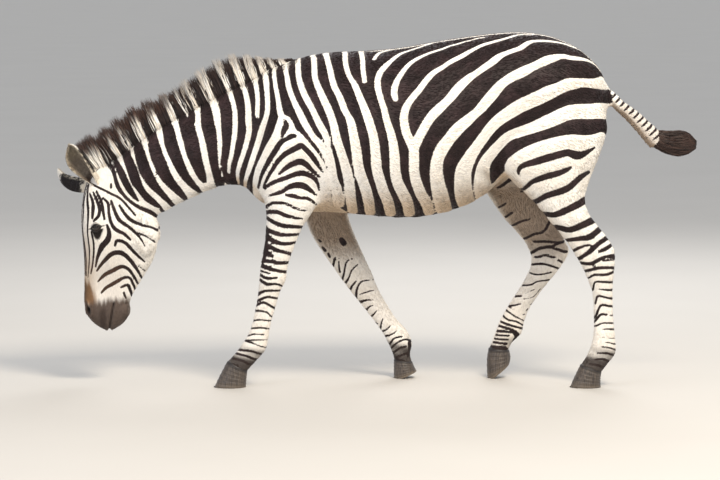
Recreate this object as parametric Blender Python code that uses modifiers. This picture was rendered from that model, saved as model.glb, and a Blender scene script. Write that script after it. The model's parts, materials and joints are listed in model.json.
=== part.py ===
"""A life-size plains zebra as a still museum model, walking with its head lowered.

Units are metres, +Z is up, and the animal faces -X with its left side towards -Y.
The flesh is made whole: sections are lofted along the trunk, neck, head, tail and legs, the lofts are
fused into one skin, and thin cuts then part it where a person would name its parts.
Ears, eyes, mane, tail tuft and hooves are solids of their own, each set into a socket in the flesh.
"""

import math

import bmesh
import bpy
import numpy as np
from mathutils import Vector

# ---------------------------------------------------------------- driving sizes
GAP = 0.0004  # clearance between neighbouring pieces
HAIR_GAP = 0.0014  # clearance round the roots of the mane and the tail tuft
FUSE_VOXEL = 0.009  # cell size of the fused flesh
FLESH_TRIANGLES = 3800  # what the fused flesh is reduced to
SIDES = 28  # points round each flesh section
RINGS_PER_STATION = 4  # smooth rings between two stations

EYE_RADIUS = 0.0205
EYE_PLACE = (-1.002, 0.0870, 0.571)  # mirrored for the other eye

LEFT = -1  # the left side lies towards -Y
RIGHT = 1

# Each section is a row:
# (front or upper point x, z,  back or lower point x, z,  half width, share of the depth at which it is widest
#  counted from the lower point, roundness of the upper half)
# A roundness of 2 is an ellipse, less is a ridge and more is a box.
TRUNK = [
    (-0.430, 1.020, -0.468, 0.715, 0.095, 0.42, 2.0),
    (-0.400, 1.095, -0.440, 0.672, 0.140, 0.42, 1.9),
    (-0.346, 1.150, -0.372, 0.636, 0.182, 0.44, 1.7),
    (-0.274, 1.178, -0.280, 0.620, 0.210, 0.45, 1.7),
    (-0.166, 1.196, -0.166, 0.619, 0.236, 0.45, 1.8),
    (-0.040, 1.202, -0.040, 0.608, 0.264, 0.43, 1.9),
    (0.086, 1.213, 0.086, 0.599, 0.283, 0.42, 1.9),
    (0.194, 1.232, 0.200, 0.607, 0.284, 0.43, 1.9),
    (0.302, 1.249, 0.310, 0.638, 0.266, 0.47, 1.9),
    (0.410, 1.263, 0.396, 0.684, 0.248, 0.54, 1.9),
    (0.518, 1.269, 0.464, 0.745, 0.236, 0.58, 1.9),
    (0.626, 1.254, 0.554, 0.775, 0.218, 0.60, 1.9),
    (0.716, 1.216, 0.662, 0.800, 0.190, 0.60, 2.0),
    (0.778, 1.166, 0.755, 0.840, 0.148, 0.60, 2.0),
    (0.812, 1.120, 0.805, 0.900, 0.098, 0.58, 2.0),
    (0.828, 1.070, 0.828, 0.965, 0.045, 0.55, 2.0),
]

NECK = [
    (-0.270, 1.150, -0.400, 0.700, 0.130, 0.42, 1.7),
    (-0.372, 1.146, -0.492, 0.714, 0.136, 0.40, 1.6),
    (-0.454, 1.096, -0.551, 0.713, 0.118, 0.40, 1.6),
    (-0.536, 1.058, -0.610, 0.694, 0.103, 0.42, 1.6),
    (-0.634, 1.008, -0.668, 0.668, 0.093, 0.44, 1.6),
    (-0.734, 0.957, -0.722, 0.642, 0.087, 0.46, 1.6),
    (-0.832, 0.893, -0.766, 0.617, 0.083, 0.48, 1.7),
    (-0.908, 0.838, -0.800, 0.607, 0.078, 0.50, 1.8),
    (-0.972, 0.795, -0.845, 0.620, 0.070, 0.52, 1.9),
    (-0.998, 0.765, -0.890, 0.640, 0.045, 0.52, 2.0),
]

HEAD = [
    (-1.000, 0.786, -0.930, 0.735, 0.030, 0.50, 2.0),
    (-1.024, 0.768, -0.880, 0.690, 0.062, 0.54, 2.2),
    (-1.046, 0.727, -0.822, 0.640, 0.080, 0.62, 2.5),
    (-1.058, 0.679, -0.790, 0.599, 0.090, 0.68, 2.7),
    (-1.064, 0.620, -0.783, 0.556, 0.100, 0.74, 2.8),
    (-1.064, 0.560, -0.787, 0.505, 0.098, 0.76, 2.7),
    (-1.060, 0.502, -0.802, 0.450, 0.082, 0.72, 2.4),
    (-1.057, 0.445, -0.828, 0.402, 0.067, 0.66, 2.2),
    (-1.057, 0.391, -0.853, 0.361, 0.057, 0.60, 2.2),
    (-1.057, 0.340, -0.877, 0.321, 0.054, 0.56, 2.3),
    (-1.058, 0.301, -0.889, 0.291, 0.059, 0.56, 2.5),
    (-1.053, 0.265, -0.888, 0.262, 0.062, 0.54, 2.6),
    (-1.038, 0.232, -0.898, 0.234, 0.056, 0.52, 2.5),
    (-1.013, 0.208, -0.918, 0.211, 0.042, 0.50, 2.3),
    (-0.985, 0.191, -0.945, 0.193, 0.018, 0.50, 2.0),
]

# Legs: the front edge, then the back edge. One row more column: how far the leg's middle stands from the
# animal's middle plane.
FORELEG_PLANTED = [
    (-0.425, 0.900, -0.230, 0.900, 0.064, 0.5, 2.0, 0.105),
    (-0.422, 0.800, -0.205, 0.780, 0.074, 0.5, 2.0, 0.122),
    (-0.412, 0.715, -0.200, 0.695, 0.074, 0.5, 2.0, 0.130),
    (-0.398, 0.646, -0.222, 0.632, 0.066, 0.5, 2.1, 0.133),
    (-0.396, 0.592, -0.250, 0.590, 0.057, 0.5, 2.1, 0.132),
    (-0.399, 0.528, -0.282, 0.527, 0.049, 0.5, 2.1, 0.130),
    (-0.409, 0.475, -0.303, 0.471, 0.043, 0.5, 2.1, 0.128),
    (-0.416, 0.429, -0.315, 0.428, 0.042, 0.5, 2.3, 0.127),
    (-0.420, 0.386, -0.322, 0.384, 0.041, 0.5, 2.4, 0.127),
    (-0.424, 0.343, -0.342, 0.340, 0.034, 0.5, 2.2, 0.127),
    (-0.434, 0.286, -0.359, 0.283, 0.028, 0.5, 2.0, 0.127),
    (-0.446, 0.228, -0.376, 0.222, 0.029, 0.5, 2.0, 0.127),
    (-0.460, 0.190, -0.384, 0.176, 0.035, 0.5, 2.1, 0.127),
    (-0.481, 0.156, -0.394, 0.134, 0.038, 0.5, 2.2, 0.127),
    (-0.503, 0.126, -0.430, 0.090, 0.033, 0.5, 2.1, 0.128),
    (-0.530, 0.096, -0.458, 0.060, 0.038, 0.5, 2.1, 0.129),
    (-0.546, 0.078, -0.474, 0.042, 0.038, 0.5, 2.1, 0.129),
]

FORELEG_TRAILING = [
    (-0.375, 0.900, -0.180, 0.900, 0.064, 0.5, 2.0, 0.105),
    (-0.355, 0.800, -0.140, 0.790, 0.074, 0.5, 2.0, 0.120),
    (-0.325, 0.715, -0.112, 0.716, 0.074, 0.5, 2.0, 0.126),
    (-0.288, 0.640, -0.105, 0.656, 0.066, 0.5, 2.1, 0.128),
    (-0.258, 0.574, -0.100, 0.600, 0.057, 0.5, 2.1, 0.127),
    (-0.228, 0.512, -0.084, 0.546, 0.050, 0.5, 2.1, 0.126),
    (-0.190, 0.452, -0.060, 0.489, 0.044, 0.5, 2.1, 0.125),
    (-0.150, 0.396, -0.034, 0.432, 0.042, 0.5, 2.3, 0.124),
    (-0.116, 0.347, -0.010, 0.380, 0.041, 0.5, 2.4, 0.124),
    (-0.082, 0.302, 0.010, 0.330, 0.034, 0.5, 2.2, 0.124),
    (-0.039, 0.248, 0.042, 0.272, 0.028, 0.5, 2.0, 0.124),
    (0.002, 0.194, 0.078, 0.216, 0.029, 0.5, 2.0, 0.124),
    (0.026, 0.160, 0.114, 0.176, 0.035, 0.5, 2.1, 0.124),
    (0.045, 0.124, 0.135, 0.128, 0.038, 0.5, 2.2, 0.124),
    (0.058, 0.094, 0.128, 0.088, 0.033, 0.5, 2.1, 0.125),
    (0.066, 0.068, 0.134, 0.060, 0.037, 0.5, 2.1, 0.126),
    (0.070, 0.048, 0.138, 0.042, 0.037, 0.5, 2.1, 0.126),
]

HINDLEG_PLANTED = [
    (0.470, 1.080, 0.745, 1.080, 0.070, 0.5, 2.0, 0.110),
    (0.432, 0.960, 0.812, 1.000, 0.092, 0.5, 2.1, 0.118),
    (0.426, 0.860, 0.824, 0.920, 0.102, 0.5, 2.1, 0.124),
    (0.448, 0.782, 0.803, 0.850, 0.100, 0.5, 2.1, 0.128),
    (0.486, 0.734, 0.783, 0.795, 0.092, 0.5, 2.1, 0.130),
    (0.523, 0.700, 0.764, 0.744, 0.082, 0.5, 2.1, 0.132),
    (0.566, 0.658, 0.748, 0.684, 0.070, 0.5, 2.1, 0.133),
    (0.608, 0.607, 0.757, 0.632, 0.060, 0.5, 2.0, 0.133),
    (0.647, 0.562, 0.794, 0.580, 0.051, 0.5, 1.9, 0.132),
    (0.683, 0.516, 0.832, 0.532, 0.045, 0.5, 1.9, 0.131),
    (0.712, 0.471, 0.855, 0.487, 0.043, 0.5, 2.1, 0.130),
    (0.737, 0.429, 0.856, 0.440, 0.042, 0.5, 2.3, 0.129),
    (0.757, 0.382, 0.851, 0.386, 0.037, 0.5, 2.2, 0.128),
    (0.773, 0.332, 0.849, 0.332, 0.031, 0.5, 2.0, 0.128),
    (0.777, 0.243, 0.853, 0.243, 0.029, 0.5, 2.0, 0.128),
    (0.777, 0.190, 0.859, 0.180, 0.035, 0.5, 2.1, 0.128),
    (0.768, 0.146, 0.861, 0.124, 0.038, 0.5, 2.2, 0.128),
    (0.753, 0.112, 0.834, 0.084, 0.033, 0.5, 2.1, 0.129),
    (0.736, 0.084, 0.812, 0.056, 0.038, 0.5, 2.1, 0.130),
    (0.724, 0.066, 0.800, 0.038, 0.038, 0.5, 2.1, 0.130),
]

HINDLEG_LIFTING = [
    (0.420, 1.080, 0.700, 1.080, 0.070, 0.5, 2.0, 0.110),
    (0.372, 0.940, 0.770, 0.990, 0.092, 0.5, 2.1, 0.118),
    (0.356, 0.830, 0.785, 0.890, 0.102, 0.5, 2.1, 0.124),
    (0.364, 0.748, 0.775, 0.810, 0.098, 0.5, 2.1, 0.128),
    (0.392, 0.688, 0.752, 0.735, 0.088, 0.5, 2.1, 0.130),
    (0.430, 0.634, 0.716, 0.660, 0.074, 0.5, 2.1, 0.130),
    (0.470, 0.582, 0.688, 0.598, 0.062, 0.5, 2.0, 0.130),
    (0.514, 0.534, 0.682, 0.540, 0.052, 0.5, 1.9, 0.129),
    (0.546, 0.492, 0.696, 0.500, 0.046, 0.5, 1.9, 0.128),
    (0.565, 0.444, 0.708, 0.466, 0.043, 0.5, 2.1, 0.127),
    (0.562, 0.403, 0.686, 0.420, 0.042, 0.5, 2.3, 0.127),
    (0.544, 0.364, 0.650, 0.372, 0.037, 0.5, 2.2, 0.126),
    (0.520, 0.324, 0.611, 0.324, 0.031, 0.5, 2.0, 0.126),
    (0.480, 0.262, 0.566, 0.256, 0.029, 0.5, 2.0, 0.125),
    (0.455, 0.216, 0.545, 0.204, 0.035, 0.5, 2.1, 0.125),
    (0.440, 0.178, 0.536, 0.164, 0.038, 0.5, 2.2, 0.125),
    (0.428, 0.144, 0.504, 0.132, 0.033, 0.5, 2.1, 0.126),
    (0.415, 0.110, 0.489, 0.104, 0.038, 0.5, 2.1, 0.127),
    (0.413, 0.088, 0.489, 0.084, 0.038, 0.5, 2.1, 0.127),
]

TAIL_DOCK = [
    (0.765, 1.130, 0.775, 1.040, 0.036, 0.5, 2.0),
    (0.812, 1.104, 0.796, 1.036, 0.030, 0.5, 2.0),
    (0.848, 1.066, 0.824, 1.018, 0.024, 0.5, 2.0),
    (0.894, 1.020, 0.862, 0.984, 0.023, 0.5, 2.0),
    (0.940, 0.988, 0.900, 0.948, 0.024, 0.5, 2.0),
    (0.985, 0.948, 0.941, 0.902, 0.026, 0.5, 2.0),
    (1.022, 0.914, 0.974, 0.862, 0.027, 0.5, 2.0),
    (1.040, 0.896, 0.990, 0.846, 0.024, 0.5, 2.0),
]

TAIL_TUFT = [
    (1.005, 0.914, 0.975, 0.876, 0.018, 0.5, 2.0),
    (1.026, 0.926, 0.990, 0.846, 0.028, 0.5, 2.0),
    (1.062, 0.928, 1.028, 0.818, 0.033, 0.5, 2.0),
    (1.104, 0.934, 1.078, 0.800, 0.034, 0.5, 2.0),
    (1.142, 0.933, 1.122, 0.792, 0.030, 0.5, 2.0),
    (1.163, 0.914, 1.150, 0.808, 0.014, 0.5, 2.0),
]

# The mane stands upright on the crest: hair tips, then roots sunk into the neck.
MANE = [
    (-1.096, 0.862, -1.010, 0.752, 0.008, 0.30, 1.6),
    (-1.060, 0.895, -0.980, 0.766, 0.015, 0.30, 1.6),
    (-1.000, 0.932, -0.932, 0.796, 0.018, 0.30, 1.6),
    (-0.935, 0.980, -0.882, 0.834, 0.018, 0.30, 1.6),
    (-0.868, 1.020, -0.832, 0.872, 0.018, 0.30, 1.6),
    (-0.800, 1.045, -0.772, 0.914, 0.018, 0.30, 1.6),
    (-0.735, 1.080, -0.706, 0.952, 0.018, 0.30, 1.6),
    (-0.668, 1.127, -0.634, 0.986, 0.018, 0.30, 1.6),
    (-0.600, 1.170, -0.566, 1.022, 0.018, 0.30, 1.6),
    (-0.530, 1.198, -0.500, 1.054, 0.018, 0.30, 1.6),
    (-0.465, 1.194, -0.448, 1.078, 0.017, 0.30, 1.6),
    (-0.405, 1.182, -0.400, 1.112, 0.015, 0.30, 1.6),
    (-0.345, 1.176, -0.345, 1.134, 0.010, 0.30, 1.6),
    (-0.290, 1.179, -0.292, 1.156, 0.004, 0.30, 1.6),
]

# Hooves: wall in front, heel behind, from the hair line to below the floor, where they are cut off flat.
HOOF_FORE_PLANTED = [
    (-0.5335, 0.0925, -0.4615, 0.0565, 0.0385, 0.5, 2.2, 0.129),
    (-0.552, 0.058, -0.464, 0.034, 0.043, 0.5, 2.2, 0.129),
    (-0.572, 0.018, -0.466, 0.010, 0.048, 0.5, 2.3, 0.129),
    (-0.583, -0.012, -0.467, -0.012, 0.049, 0.5, 2.3, 0.129),
]

HOOF_FORE_TRAILING = [
    (0.0660, 0.0660, 0.1345, 0.0580, 0.0375, 0.5, 2.2, 0.126),
    (0.066, 0.040, 0.140, 0.044, 0.042, 0.5, 2.2, 0.126),
    (0.066, 0.010, 0.146, 0.032, 0.046, 0.5, 2.3, 0.126),
    (0.067, -0.012, 0.150, 0.024, 0.045, 0.5, 2.3, 0.126),
]

HOOF_HIND_PLANTED = [
    (0.7330, 0.0810, 0.8090, 0.0530, 0.0385, 0.5, 2.2, 0.130),
    (0.719, 0.052, 0.806, 0.032, 0.043, 0.5, 2.2, 0.130),
    (0.703, 0.016, 0.806, 0.010, 0.047, 0.5, 2.3, 0.130),
    (0.694, -0.012, 0.807, -0.012, 0.048, 0.5, 2.3, 0.130),
]

HOOF_HIND_LIFTING = [
    (0.4125, 0.1070, 0.4895, 0.1010, 0.0385, 0.5, 2.2, 0.127),
    (0.407, 0.066, 0.494, 0.078, 0.043, 0.5, 2.2, 0.127),
    (0.408, 0.016, 0.492, 0.060, 0.046, 0.5, 2.3, 0.127),
    (0.412, -0.014, 0.488, 0.048, 0.045, 0.5, 2.3, 0.127),
]

# Each ear: where its root starts inside the head, its tip, the way its opening faces and the way it bows
EARS = {
    "ear_left": {
        "root": (-0.988, -0.050, 0.700),
        "tip": (-1.099, -0.092, 0.868),
        "faces": (-0.30, -0.92, -0.10),
        "bend": -1,
    },
    "ear_right": {
        "root": (-0.996, 0.042, 0.698),
        "tip": (-1.160, 0.148, 0.766),
        "faces": (-0.20, 0.45, 0.85),
        "bend": 1,
    },
}
# share of the ear's length, radius across, half angle of the opening in degrees, bow of its midline
EAR_FORM = [
    (0.00, 0.017, 18, 0.000),
    (0.15, 0.020, 24, 0.000),
    (0.28, 0.026, 42, 0.005),
    (0.46, 0.034, 62, 0.014),
    (0.64, 0.038, 76, 0.020),
    (0.80, 0.033, 82, 0.016),
    (0.93, 0.018, 84, 0.006),
    (1.00, 0.004, 78, 0.000),
]
EAR_THICKNESS = 0.0045
EAR_SUNK = 0.60  # the share of its length up to which the flesh is kept clear of it
EAR_ARC_POINTS = 8

# Round lumps of muscle and bone under the skin: middle, half sizes, turn about Y in degrees
LUMPS = [
    ((-0.852, 0.046, 0.540), (0.074, 0.036, 0.088), 10),  # cheek
    ((-1.012, 0.070, 0.588), (0.034, 0.026, 0.034), 0),  # brow
    ((-1.030, 0.036, 0.272), (0.024, 0.024, 0.036), 0),  # nostril
    ((-0.915, 0.018, 0.262), (0.028, 0.034, 0.032), 0),  # chin
    ((-0.330, 0.118, 0.860), (0.090, 0.086, 0.200), 18),  # shoulder
    ((-0.445, 0.085, 0.800), (0.060, 0.066, 0.085), 0),  # point of the shoulder
    ((0.520, 0.130, 0.840), (0.095, 0.094, 0.120), -20),  # stifle
]

# Places where two masses meet in a fold that the skin bridges: middle, reach
SOFT_FOLDS = [
    ((-0.300, 0.0, 0.660), 0.130),
    ((-0.450, 0.0, 0.760), 0.170),
    ((-0.330, 0.0, 1.080), 0.150),
    ((-0.880, 0.0, 0.640), 0.110),
    ((-0.960, 0.0, 0.760), 0.070),
    ((0.440, 0.0, 0.740), 0.150),
    ((0.600, 0.0, 0.760), 0.190),
    ((0.800, 0.0, 1.060), 0.060),
]

NOSTRIL = {"middle": (-1.046, 0.050, 0.266), "half_size": (0.017, 0.010, 0.022)}
MOUTH = {"corner": (-0.944, 0.296), "front": (-0.966, 0.184), "depth": 0.010, "opening": 0.0024}

# Thin cuts: name, middle x and z, normal x and z, half length, lowest and highest y
CUT_THICKNESS = 0.0006
CUTS = [
    ("poll", (-0.902, 0.722), (0.662, 0.750), 0.185, -0.20, 0.20),
    ("withers", (-0.414, 0.944), (0.925, -0.380), 0.290, -0.30, 0.30),
    ("elbows", (-0.260, 0.6155), (0.030, 1.0), 0.200, -0.30, 0.30),
    ("thighs", (0.598, 0.712), (-0.330, 0.944), 0.262, -0.30, 0.30),
    ("dock", (0.833, 1.050), (0.980, 0.196), 0.090, -0.06, 0.06),
    ("left knee", (-0.374, 0.3665), (0.060, 1.0), 0.095, -0.25, -0.02),
    ("right knee", (-0.052, 0.345), (-0.320, 0.947), 0.110, 0.02, 0.30),
    ("left hock", (0.800, 0.412), (-0.100, 0.995), 0.110, -0.30, -0.02),
    ("right hock", (0.610, 0.400), (0.200, 0.980), 0.110, 0.02, 0.30),
]

# A point inside each node of flesh, by which the parted pieces are told apart
SEEDS = {
    "head": (-0.950, 0.0, 0.500),
    "neck": (-0.700, 0.0, 0.850),
    "trunk": (0.150, 0.0, 0.920),
    "tail_dock": (0.920, 0.0, 0.970),
    "foreleg_left_upper": (-0.345, -0.130, 0.500),
    "foreleg_left_lower": (-0.410, -0.127, 0.230),
    "foreleg_right_upper": (-0.150, 0.125, 0.490),
    "foreleg_right_lower": (0.030, 0.124, 0.210),
    "hindleg_left_upper": (0.710, -0.132, 0.600),
    "hindleg_left_lower": (0.815, -0.128, 0.250),
    "hindleg_right_upper": (0.590, 0.129, 0.560),
    "hindleg_right_lower": (0.520, 0.126, 0.260),
}

# Colours as linear red, green and blue, then roughness
COAT = ("striped_coat", (0.56, 0.52, 0.47), 0.62)
MANE_HAIR = ("mane_hair", (0.22, 0.19, 0.17), 0.70)
TUFT_HAIR = ("tuft_hair", (0.035, 0.024, 0.020), 0.65)
EYE_GLOSS = ("eye_gloss", (0.012, 0.008, 0.006), 0.08)
HOOF_HORN = ("hoof_horn", (0.090, 0.078, 0.068), 0.50)


# ---------------------------------------------------------------- small helpers
def new_collection(name):
    collection = bpy.data.collections.new(name)
    bpy.context.scene.collection.children.link(collection)
    return collection


def clear_scene():
    for obj in list(bpy.data.objects):
        bpy.data.objects.remove(obj, do_unlink=True)


def material(name, colour, roughness):
    found = bpy.data.materials.get(name)
    if found:
        return found
    made = bpy.data.materials.new(name)
    made.use_nodes = True
    shader = made.node_tree.nodes["Principled BSDF"]
    shader.inputs["Base Color"].default_value = (*colour, 1.0)
    shader.inputs["Roughness"].default_value = roughness
    shader.inputs["Metallic"].default_value = 0.0
    return made


def object_from(name, verts, faces, collection):
    mesh = bpy.data.meshes.new(name)
    mesh.from_pydata([tuple(v) for v in verts], [], faces)
    mesh.update()
    made = bpy.data.objects.new(name, mesh)
    collection.objects.link(made)
    return made


def outward(obj):
    """Merges doubles and turns the faces outwards."""
    bm = bmesh.new()
    bm.from_mesh(obj.data)
    bmesh.ops.remove_doubles(bm, verts=bm.verts, dist=1e-6)
    bmesh.ops.recalc_face_normals(bm, faces=bm.faces)
    bm.to_mesh(obj.data)
    bm.free()
    return obj


def applied(obj):
    """The object with its modifiers turned into plain mesh."""
    graph = bpy.context.evaluated_depsgraph_get()
    mesh = bpy.data.meshes.new_from_object(obj.evaluated_get(graph))
    obj.modifiers.clear()
    obj.data = mesh
    return obj


def finish_node(obj, look, smooth_below=50):
    """Gives a finished node its material and its smooth shading."""
    obj.data.materials.clear()
    obj.data.materials.append(material(*look))
    obj.data.shade_smooth()
    obj.data.set_sharp_from_angle(angle=math.radians(smooth_below))
    return obj


# ---------------------------------------------------------------- lofts
def smooth_rows(rows, per_station):
    """Rows between the stations, on a Catmull-Rom curve through every column."""
    rows = np.array(rows, float)
    padded = np.vstack([2 * rows[0] - rows[1], rows, 2 * rows[-1] - rows[-2]])
    out = []
    for i in range(len(rows) - 1):
        before, start, end, after = padded[i : i + 4]
        for t in np.arange(per_station) / per_station:
            out.append(
                0.5
                * (
                    2 * start
                    + (end - before) * t
                    + (2 * before - 5 * start + 4 * end - after) * t**2
                    + (3 * start - before - 3 * end + after) * t**3
                )
            )
    out.append(rows[-1])
    return np.array(out)


def section(row, side, grow, sides):
    """The points of one section: two half superellipses that meet at the widest place."""
    tx, tz, bx, bz, half_width, widest, roundness = row[:7]
    offset = side * row[7] if len(row) > 7 else 0.0
    upper, lower = np.array([tx, tz]), np.array([bx, bz])
    depth = np.linalg.norm(upper - lower)
    along = (upper - lower) / depth
    middle = lower + along * depth * widest
    angle = np.arange(sides) * 2 * math.pi / sides
    c, s = np.cos(angle), np.sin(angle)
    power = np.where(s > 0, 2 / roundness, 2 / 2.1)
    reach = np.where(s > 0, (1 - widest) * depth, widest * depth) + grow
    across = np.sign(c) * np.abs(c) ** power * (half_width + grow)
    up = np.sign(s) * np.abs(s) ** power * reach
    return np.stack(
        [middle[0] + along[0] * up, offset + across, middle[1] + along[1] * up], axis=1
    )


def closed_tube(name, rings, collection):
    """A closed solid through rings of points: quads between the rings and a fan on each end."""
    verts = np.concatenate([*rings, [rings[0].mean(axis=0)], [rings[-1].mean(axis=0)]])
    n, count = len(rings[0]), len(rings)
    faces = []
    for r in range(count - 1):
        for i in range(n):
            j = (i + 1) % n
            faces.append((r * n + i, r * n + j, (r + 1) * n + j, (r + 1) * n + i))
    first, last, end = len(verts) - 2, len(verts) - 1, (count - 1) * n
    for i in range(n):
        j = (i + 1) % n
        faces.append((first, j, i))
        faces.append((last, end + i, end + j))
    return outward(object_from(name, verts, faces, collection))


def loft(name, rows, collection, side=1, grow=0.0, per_station=RINGS_PER_STATION, sides=SIDES):
    """A closed solid through the sections, made larger all round by the amount to grow."""
    rings = [section(row, side, grow, sides) for row in smooth_rows(rows, per_station)]
    if grow:
        for end, inner in ((0, 1), (-1, -2)):
            step = (rings[end] - rings[inner]).mean(axis=0)
            rings[end] = rings[end] + grow * step / np.linalg.norm(step)
    return closed_tube(name, rings, collection)


def lump(name, middle, half_size, turn, collection, segments=32):
    """A ball of muscle: a sphere stretched to its half sizes and turned about Y."""
    bm = bmesh.new()
    bmesh.ops.create_uvsphere(bm, u_segments=segments, v_segments=segments // 2, radius=1.0)
    mesh = bpy.data.meshes.new(name)
    bm.to_mesh(mesh)
    bm.free()
    co = np.array([v.co for v in mesh.vertices]) * half_size
    c, s = math.cos(math.radians(turn)), math.sin(math.radians(turn))
    co = np.stack([co[:, 0] * c + co[:, 2] * s, co[:, 1], -co[:, 0] * s + co[:, 2] * c], axis=1)
    mesh.vertices.foreach_set("co", (co + middle).astype(np.float32).ravel())
    mesh.update()
    made = bpy.data.objects.new(name, mesh)
    collection.objects.link(made)
    return made


def block(name, middle, axes, half_sizes, collection):
    """A box with its own three axes, its faces reversed if left-handed axes would turn it inside out."""
    bm = bmesh.new()
    bmesh.ops.create_cube(bm, size=2.0)
    for v in bm.verts:
        v.co = Vector(middle) + sum(
            (Vector(axis) * (v.co[k] * half_sizes[k]) for k, axis in enumerate(axes)), Vector()
        )
    if np.linalg.det([list(axis) for axis in axes]) < 0:
        bmesh.ops.reverse_faces(bm, faces=bm.faces)
    mesh = bpy.data.meshes.new(name)
    bm.to_mesh(mesh)
    bm.free()
    made = bpy.data.objects.new(name, mesh)
    collection.objects.link(made)
    made.hide_render = True
    made.display_type = "WIRE"
    return made


def joined(name, objects, collection):
    """One object that holds the meshes of several, which are removed."""
    bm = bmesh.new()
    for obj in objects:
        bm.from_mesh(obj.data)
        bpy.data.objects.remove(obj, do_unlink=True)
    mesh = bpy.data.meshes.new(name)
    bm.to_mesh(mesh)
    bm.free()
    made = bpy.data.objects.new(name, mesh)
    collection.objects.link(made)
    return made


def cut_away(obj, cutter):
    """Takes the cutter's shape out of the object, and hides the cutter."""
    cutter.hide_render = True
    cutter.display_type = "WIRE"
    modifier = obj.modifiers.new("cut", "BOOLEAN")
    modifier.operation = "DIFFERENCE"
    modifier.solver = "EXACT"
    modifier.use_self = True
    modifier.object = cutter
    return applied(obj)


# ---------------------------------------------------------------- flesh
def fused_flesh(collection):
    """All the lofts and lumps as one closed skin."""
    pieces = [
        loft("trunk_form", TRUNK, collection),
        loft("neck_form", NECK, collection),
        loft("head_form", HEAD, collection),
        loft("dock_form", TAIL_DOCK, collection),
        loft("foreleg_left_form", FORELEG_PLANTED, collection, LEFT),
        loft("foreleg_right_form", FORELEG_TRAILING, collection, RIGHT),
        loft("hindleg_left_form", HINDLEG_PLANTED, collection, LEFT),
        loft("hindleg_right_form", HINDLEG_LIFTING, collection, RIGHT),
    ]
    for i, (middle, half_size, turn) in enumerate(LUMPS):
        for side in (LEFT, RIGHT):
            place = (middle[0], side * middle[1], middle[2])
            pieces.append(lump(f"lump_{i}_{side}", place, half_size, turn, collection))
    flesh = joined("flesh", pieces, collection)
    remesh = flesh.modifiers.new("fuse", "REMESH")
    remesh.mode = "VOXEL"
    remesh.voxel_size = FUSE_VOXEL
    applied(flesh)
    soften_folds(flesh)
    decimate = flesh.modifiers.new("reduce", "DECIMATE")
    decimate.ratio = FLESH_TRIANGLES / (2 * len(flesh.data.polygons))
    applied(flesh)
    return flesh


def soften_folds(flesh):
    """Evens the skin a little everywhere, and much more where two masses meet."""
    co = np.empty(len(flesh.data.vertices) * 3)
    flesh.data.vertices.foreach_get("co", co)
    co = co.reshape(-1, 3)
    weight = np.zeros(len(co))
    for middle, reach in SOFT_FOLDS:
        distance = np.linalg.norm((co - middle)[:, [0, 2]], axis=1)
        weight = np.maximum(weight, np.clip(1.4 - 1.4 * distance / reach, 0, 1))
    group = flesh.vertex_groups.new(name="folds")
    for level in range(1, 11):
        chosen = np.flatnonzero(np.round(weight * 10) == level)
        group.add([int(i) for i in chosen], level / 10, "REPLACE")
    even = flesh.modifiers.new("even", "SMOOTH")
    even.factor, even.iterations = 0.5, 3
    folds = flesh.modifiers.new("folds", "SMOOTH")
    folds.factor, folds.iterations, folds.vertex_group = 0.5, 26, "folds"
    applied(flesh)


def cutting_slabs(collection):
    """The thin slabs that part the flesh."""
    slabs = []
    for name, (x, z), (nx, nz), half_length, low_y, high_y in CUTS:
        length = math.hypot(nx, nz)
        nx, nz = nx / length, nz / length
        axes = ((nz, 0, -nx), (0, 1, 0), (nx, 0, nz))
        half = (half_length, (high_y - low_y) / 2, CUT_THICKNESS / 2)
        slabs.append(block(f"cut_{name}", (x, (low_y + high_y) / 2, z), axes, half, collection))
    return slabs


def coronet_block(rows, side, collection):
    """A block under the hair line, which clears the leg's end for the hoof."""
    tx, tz, bx, bz = rows[0][:4]
    along = Vector((tx - bx, 0, tz - bz)).normalized()
    down = Vector((-along.z, 0, along.x))
    if down.z > 0:
        down = -down
    depth = 0.045
    middle = Vector(((tx + bx) / 2, side * rows[0][7], (tz + bz) / 2)) + down * (depth - GAP)
    return block("coronet", middle, (along, (0, 1, 0), down), (0.060, 0.060, depth), collection)


def parted(flesh, collection):
    """The separate pieces of the cut flesh, each named after the seed it lies nearest."""
    bm = bmesh.new()
    bm.from_mesh(flesh.data)
    bm.verts.ensure_lookup_table()
    left = set(range(len(bm.verts)))
    pieces = []
    while left:
        todo, found = [next(iter(left))], set()
        while todo:
            index = todo.pop()
            if index in found:
                continue
            found.add(index)
            todo += [e.other_vert(bm.verts[index]).index for e in bm.verts[index].link_edges]
        left -= found
        pieces.append(sorted(found))
    nodes = {}
    for name, seed in SEEDS.items():
        best, verts = None, None
        for piece in pieces:
            if len(piece) < 24:
                continue
            co = np.array([bm.verts[i].co for i in piece])
            middle = (co.max(axis=0) + co.min(axis=0)) / 2
            distance = np.linalg.norm(middle - seed)
            if best is None or distance < best:
                best, verts = distance, piece
        keep = set(verts)
        faces = [f for f in bm.faces if f.verts[0].index in keep]
        order = {index: i for i, index in enumerate(verts)}
        nodes[name] = object_from(
            name,
            [bm.verts[i].co for i in verts],
            [tuple(order[v.index] for v in f.verts) for f in faces],
            collection,
        )
    bm.free()
    bpy.data.objects.remove(flesh, do_unlink=True)
    return nodes


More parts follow.
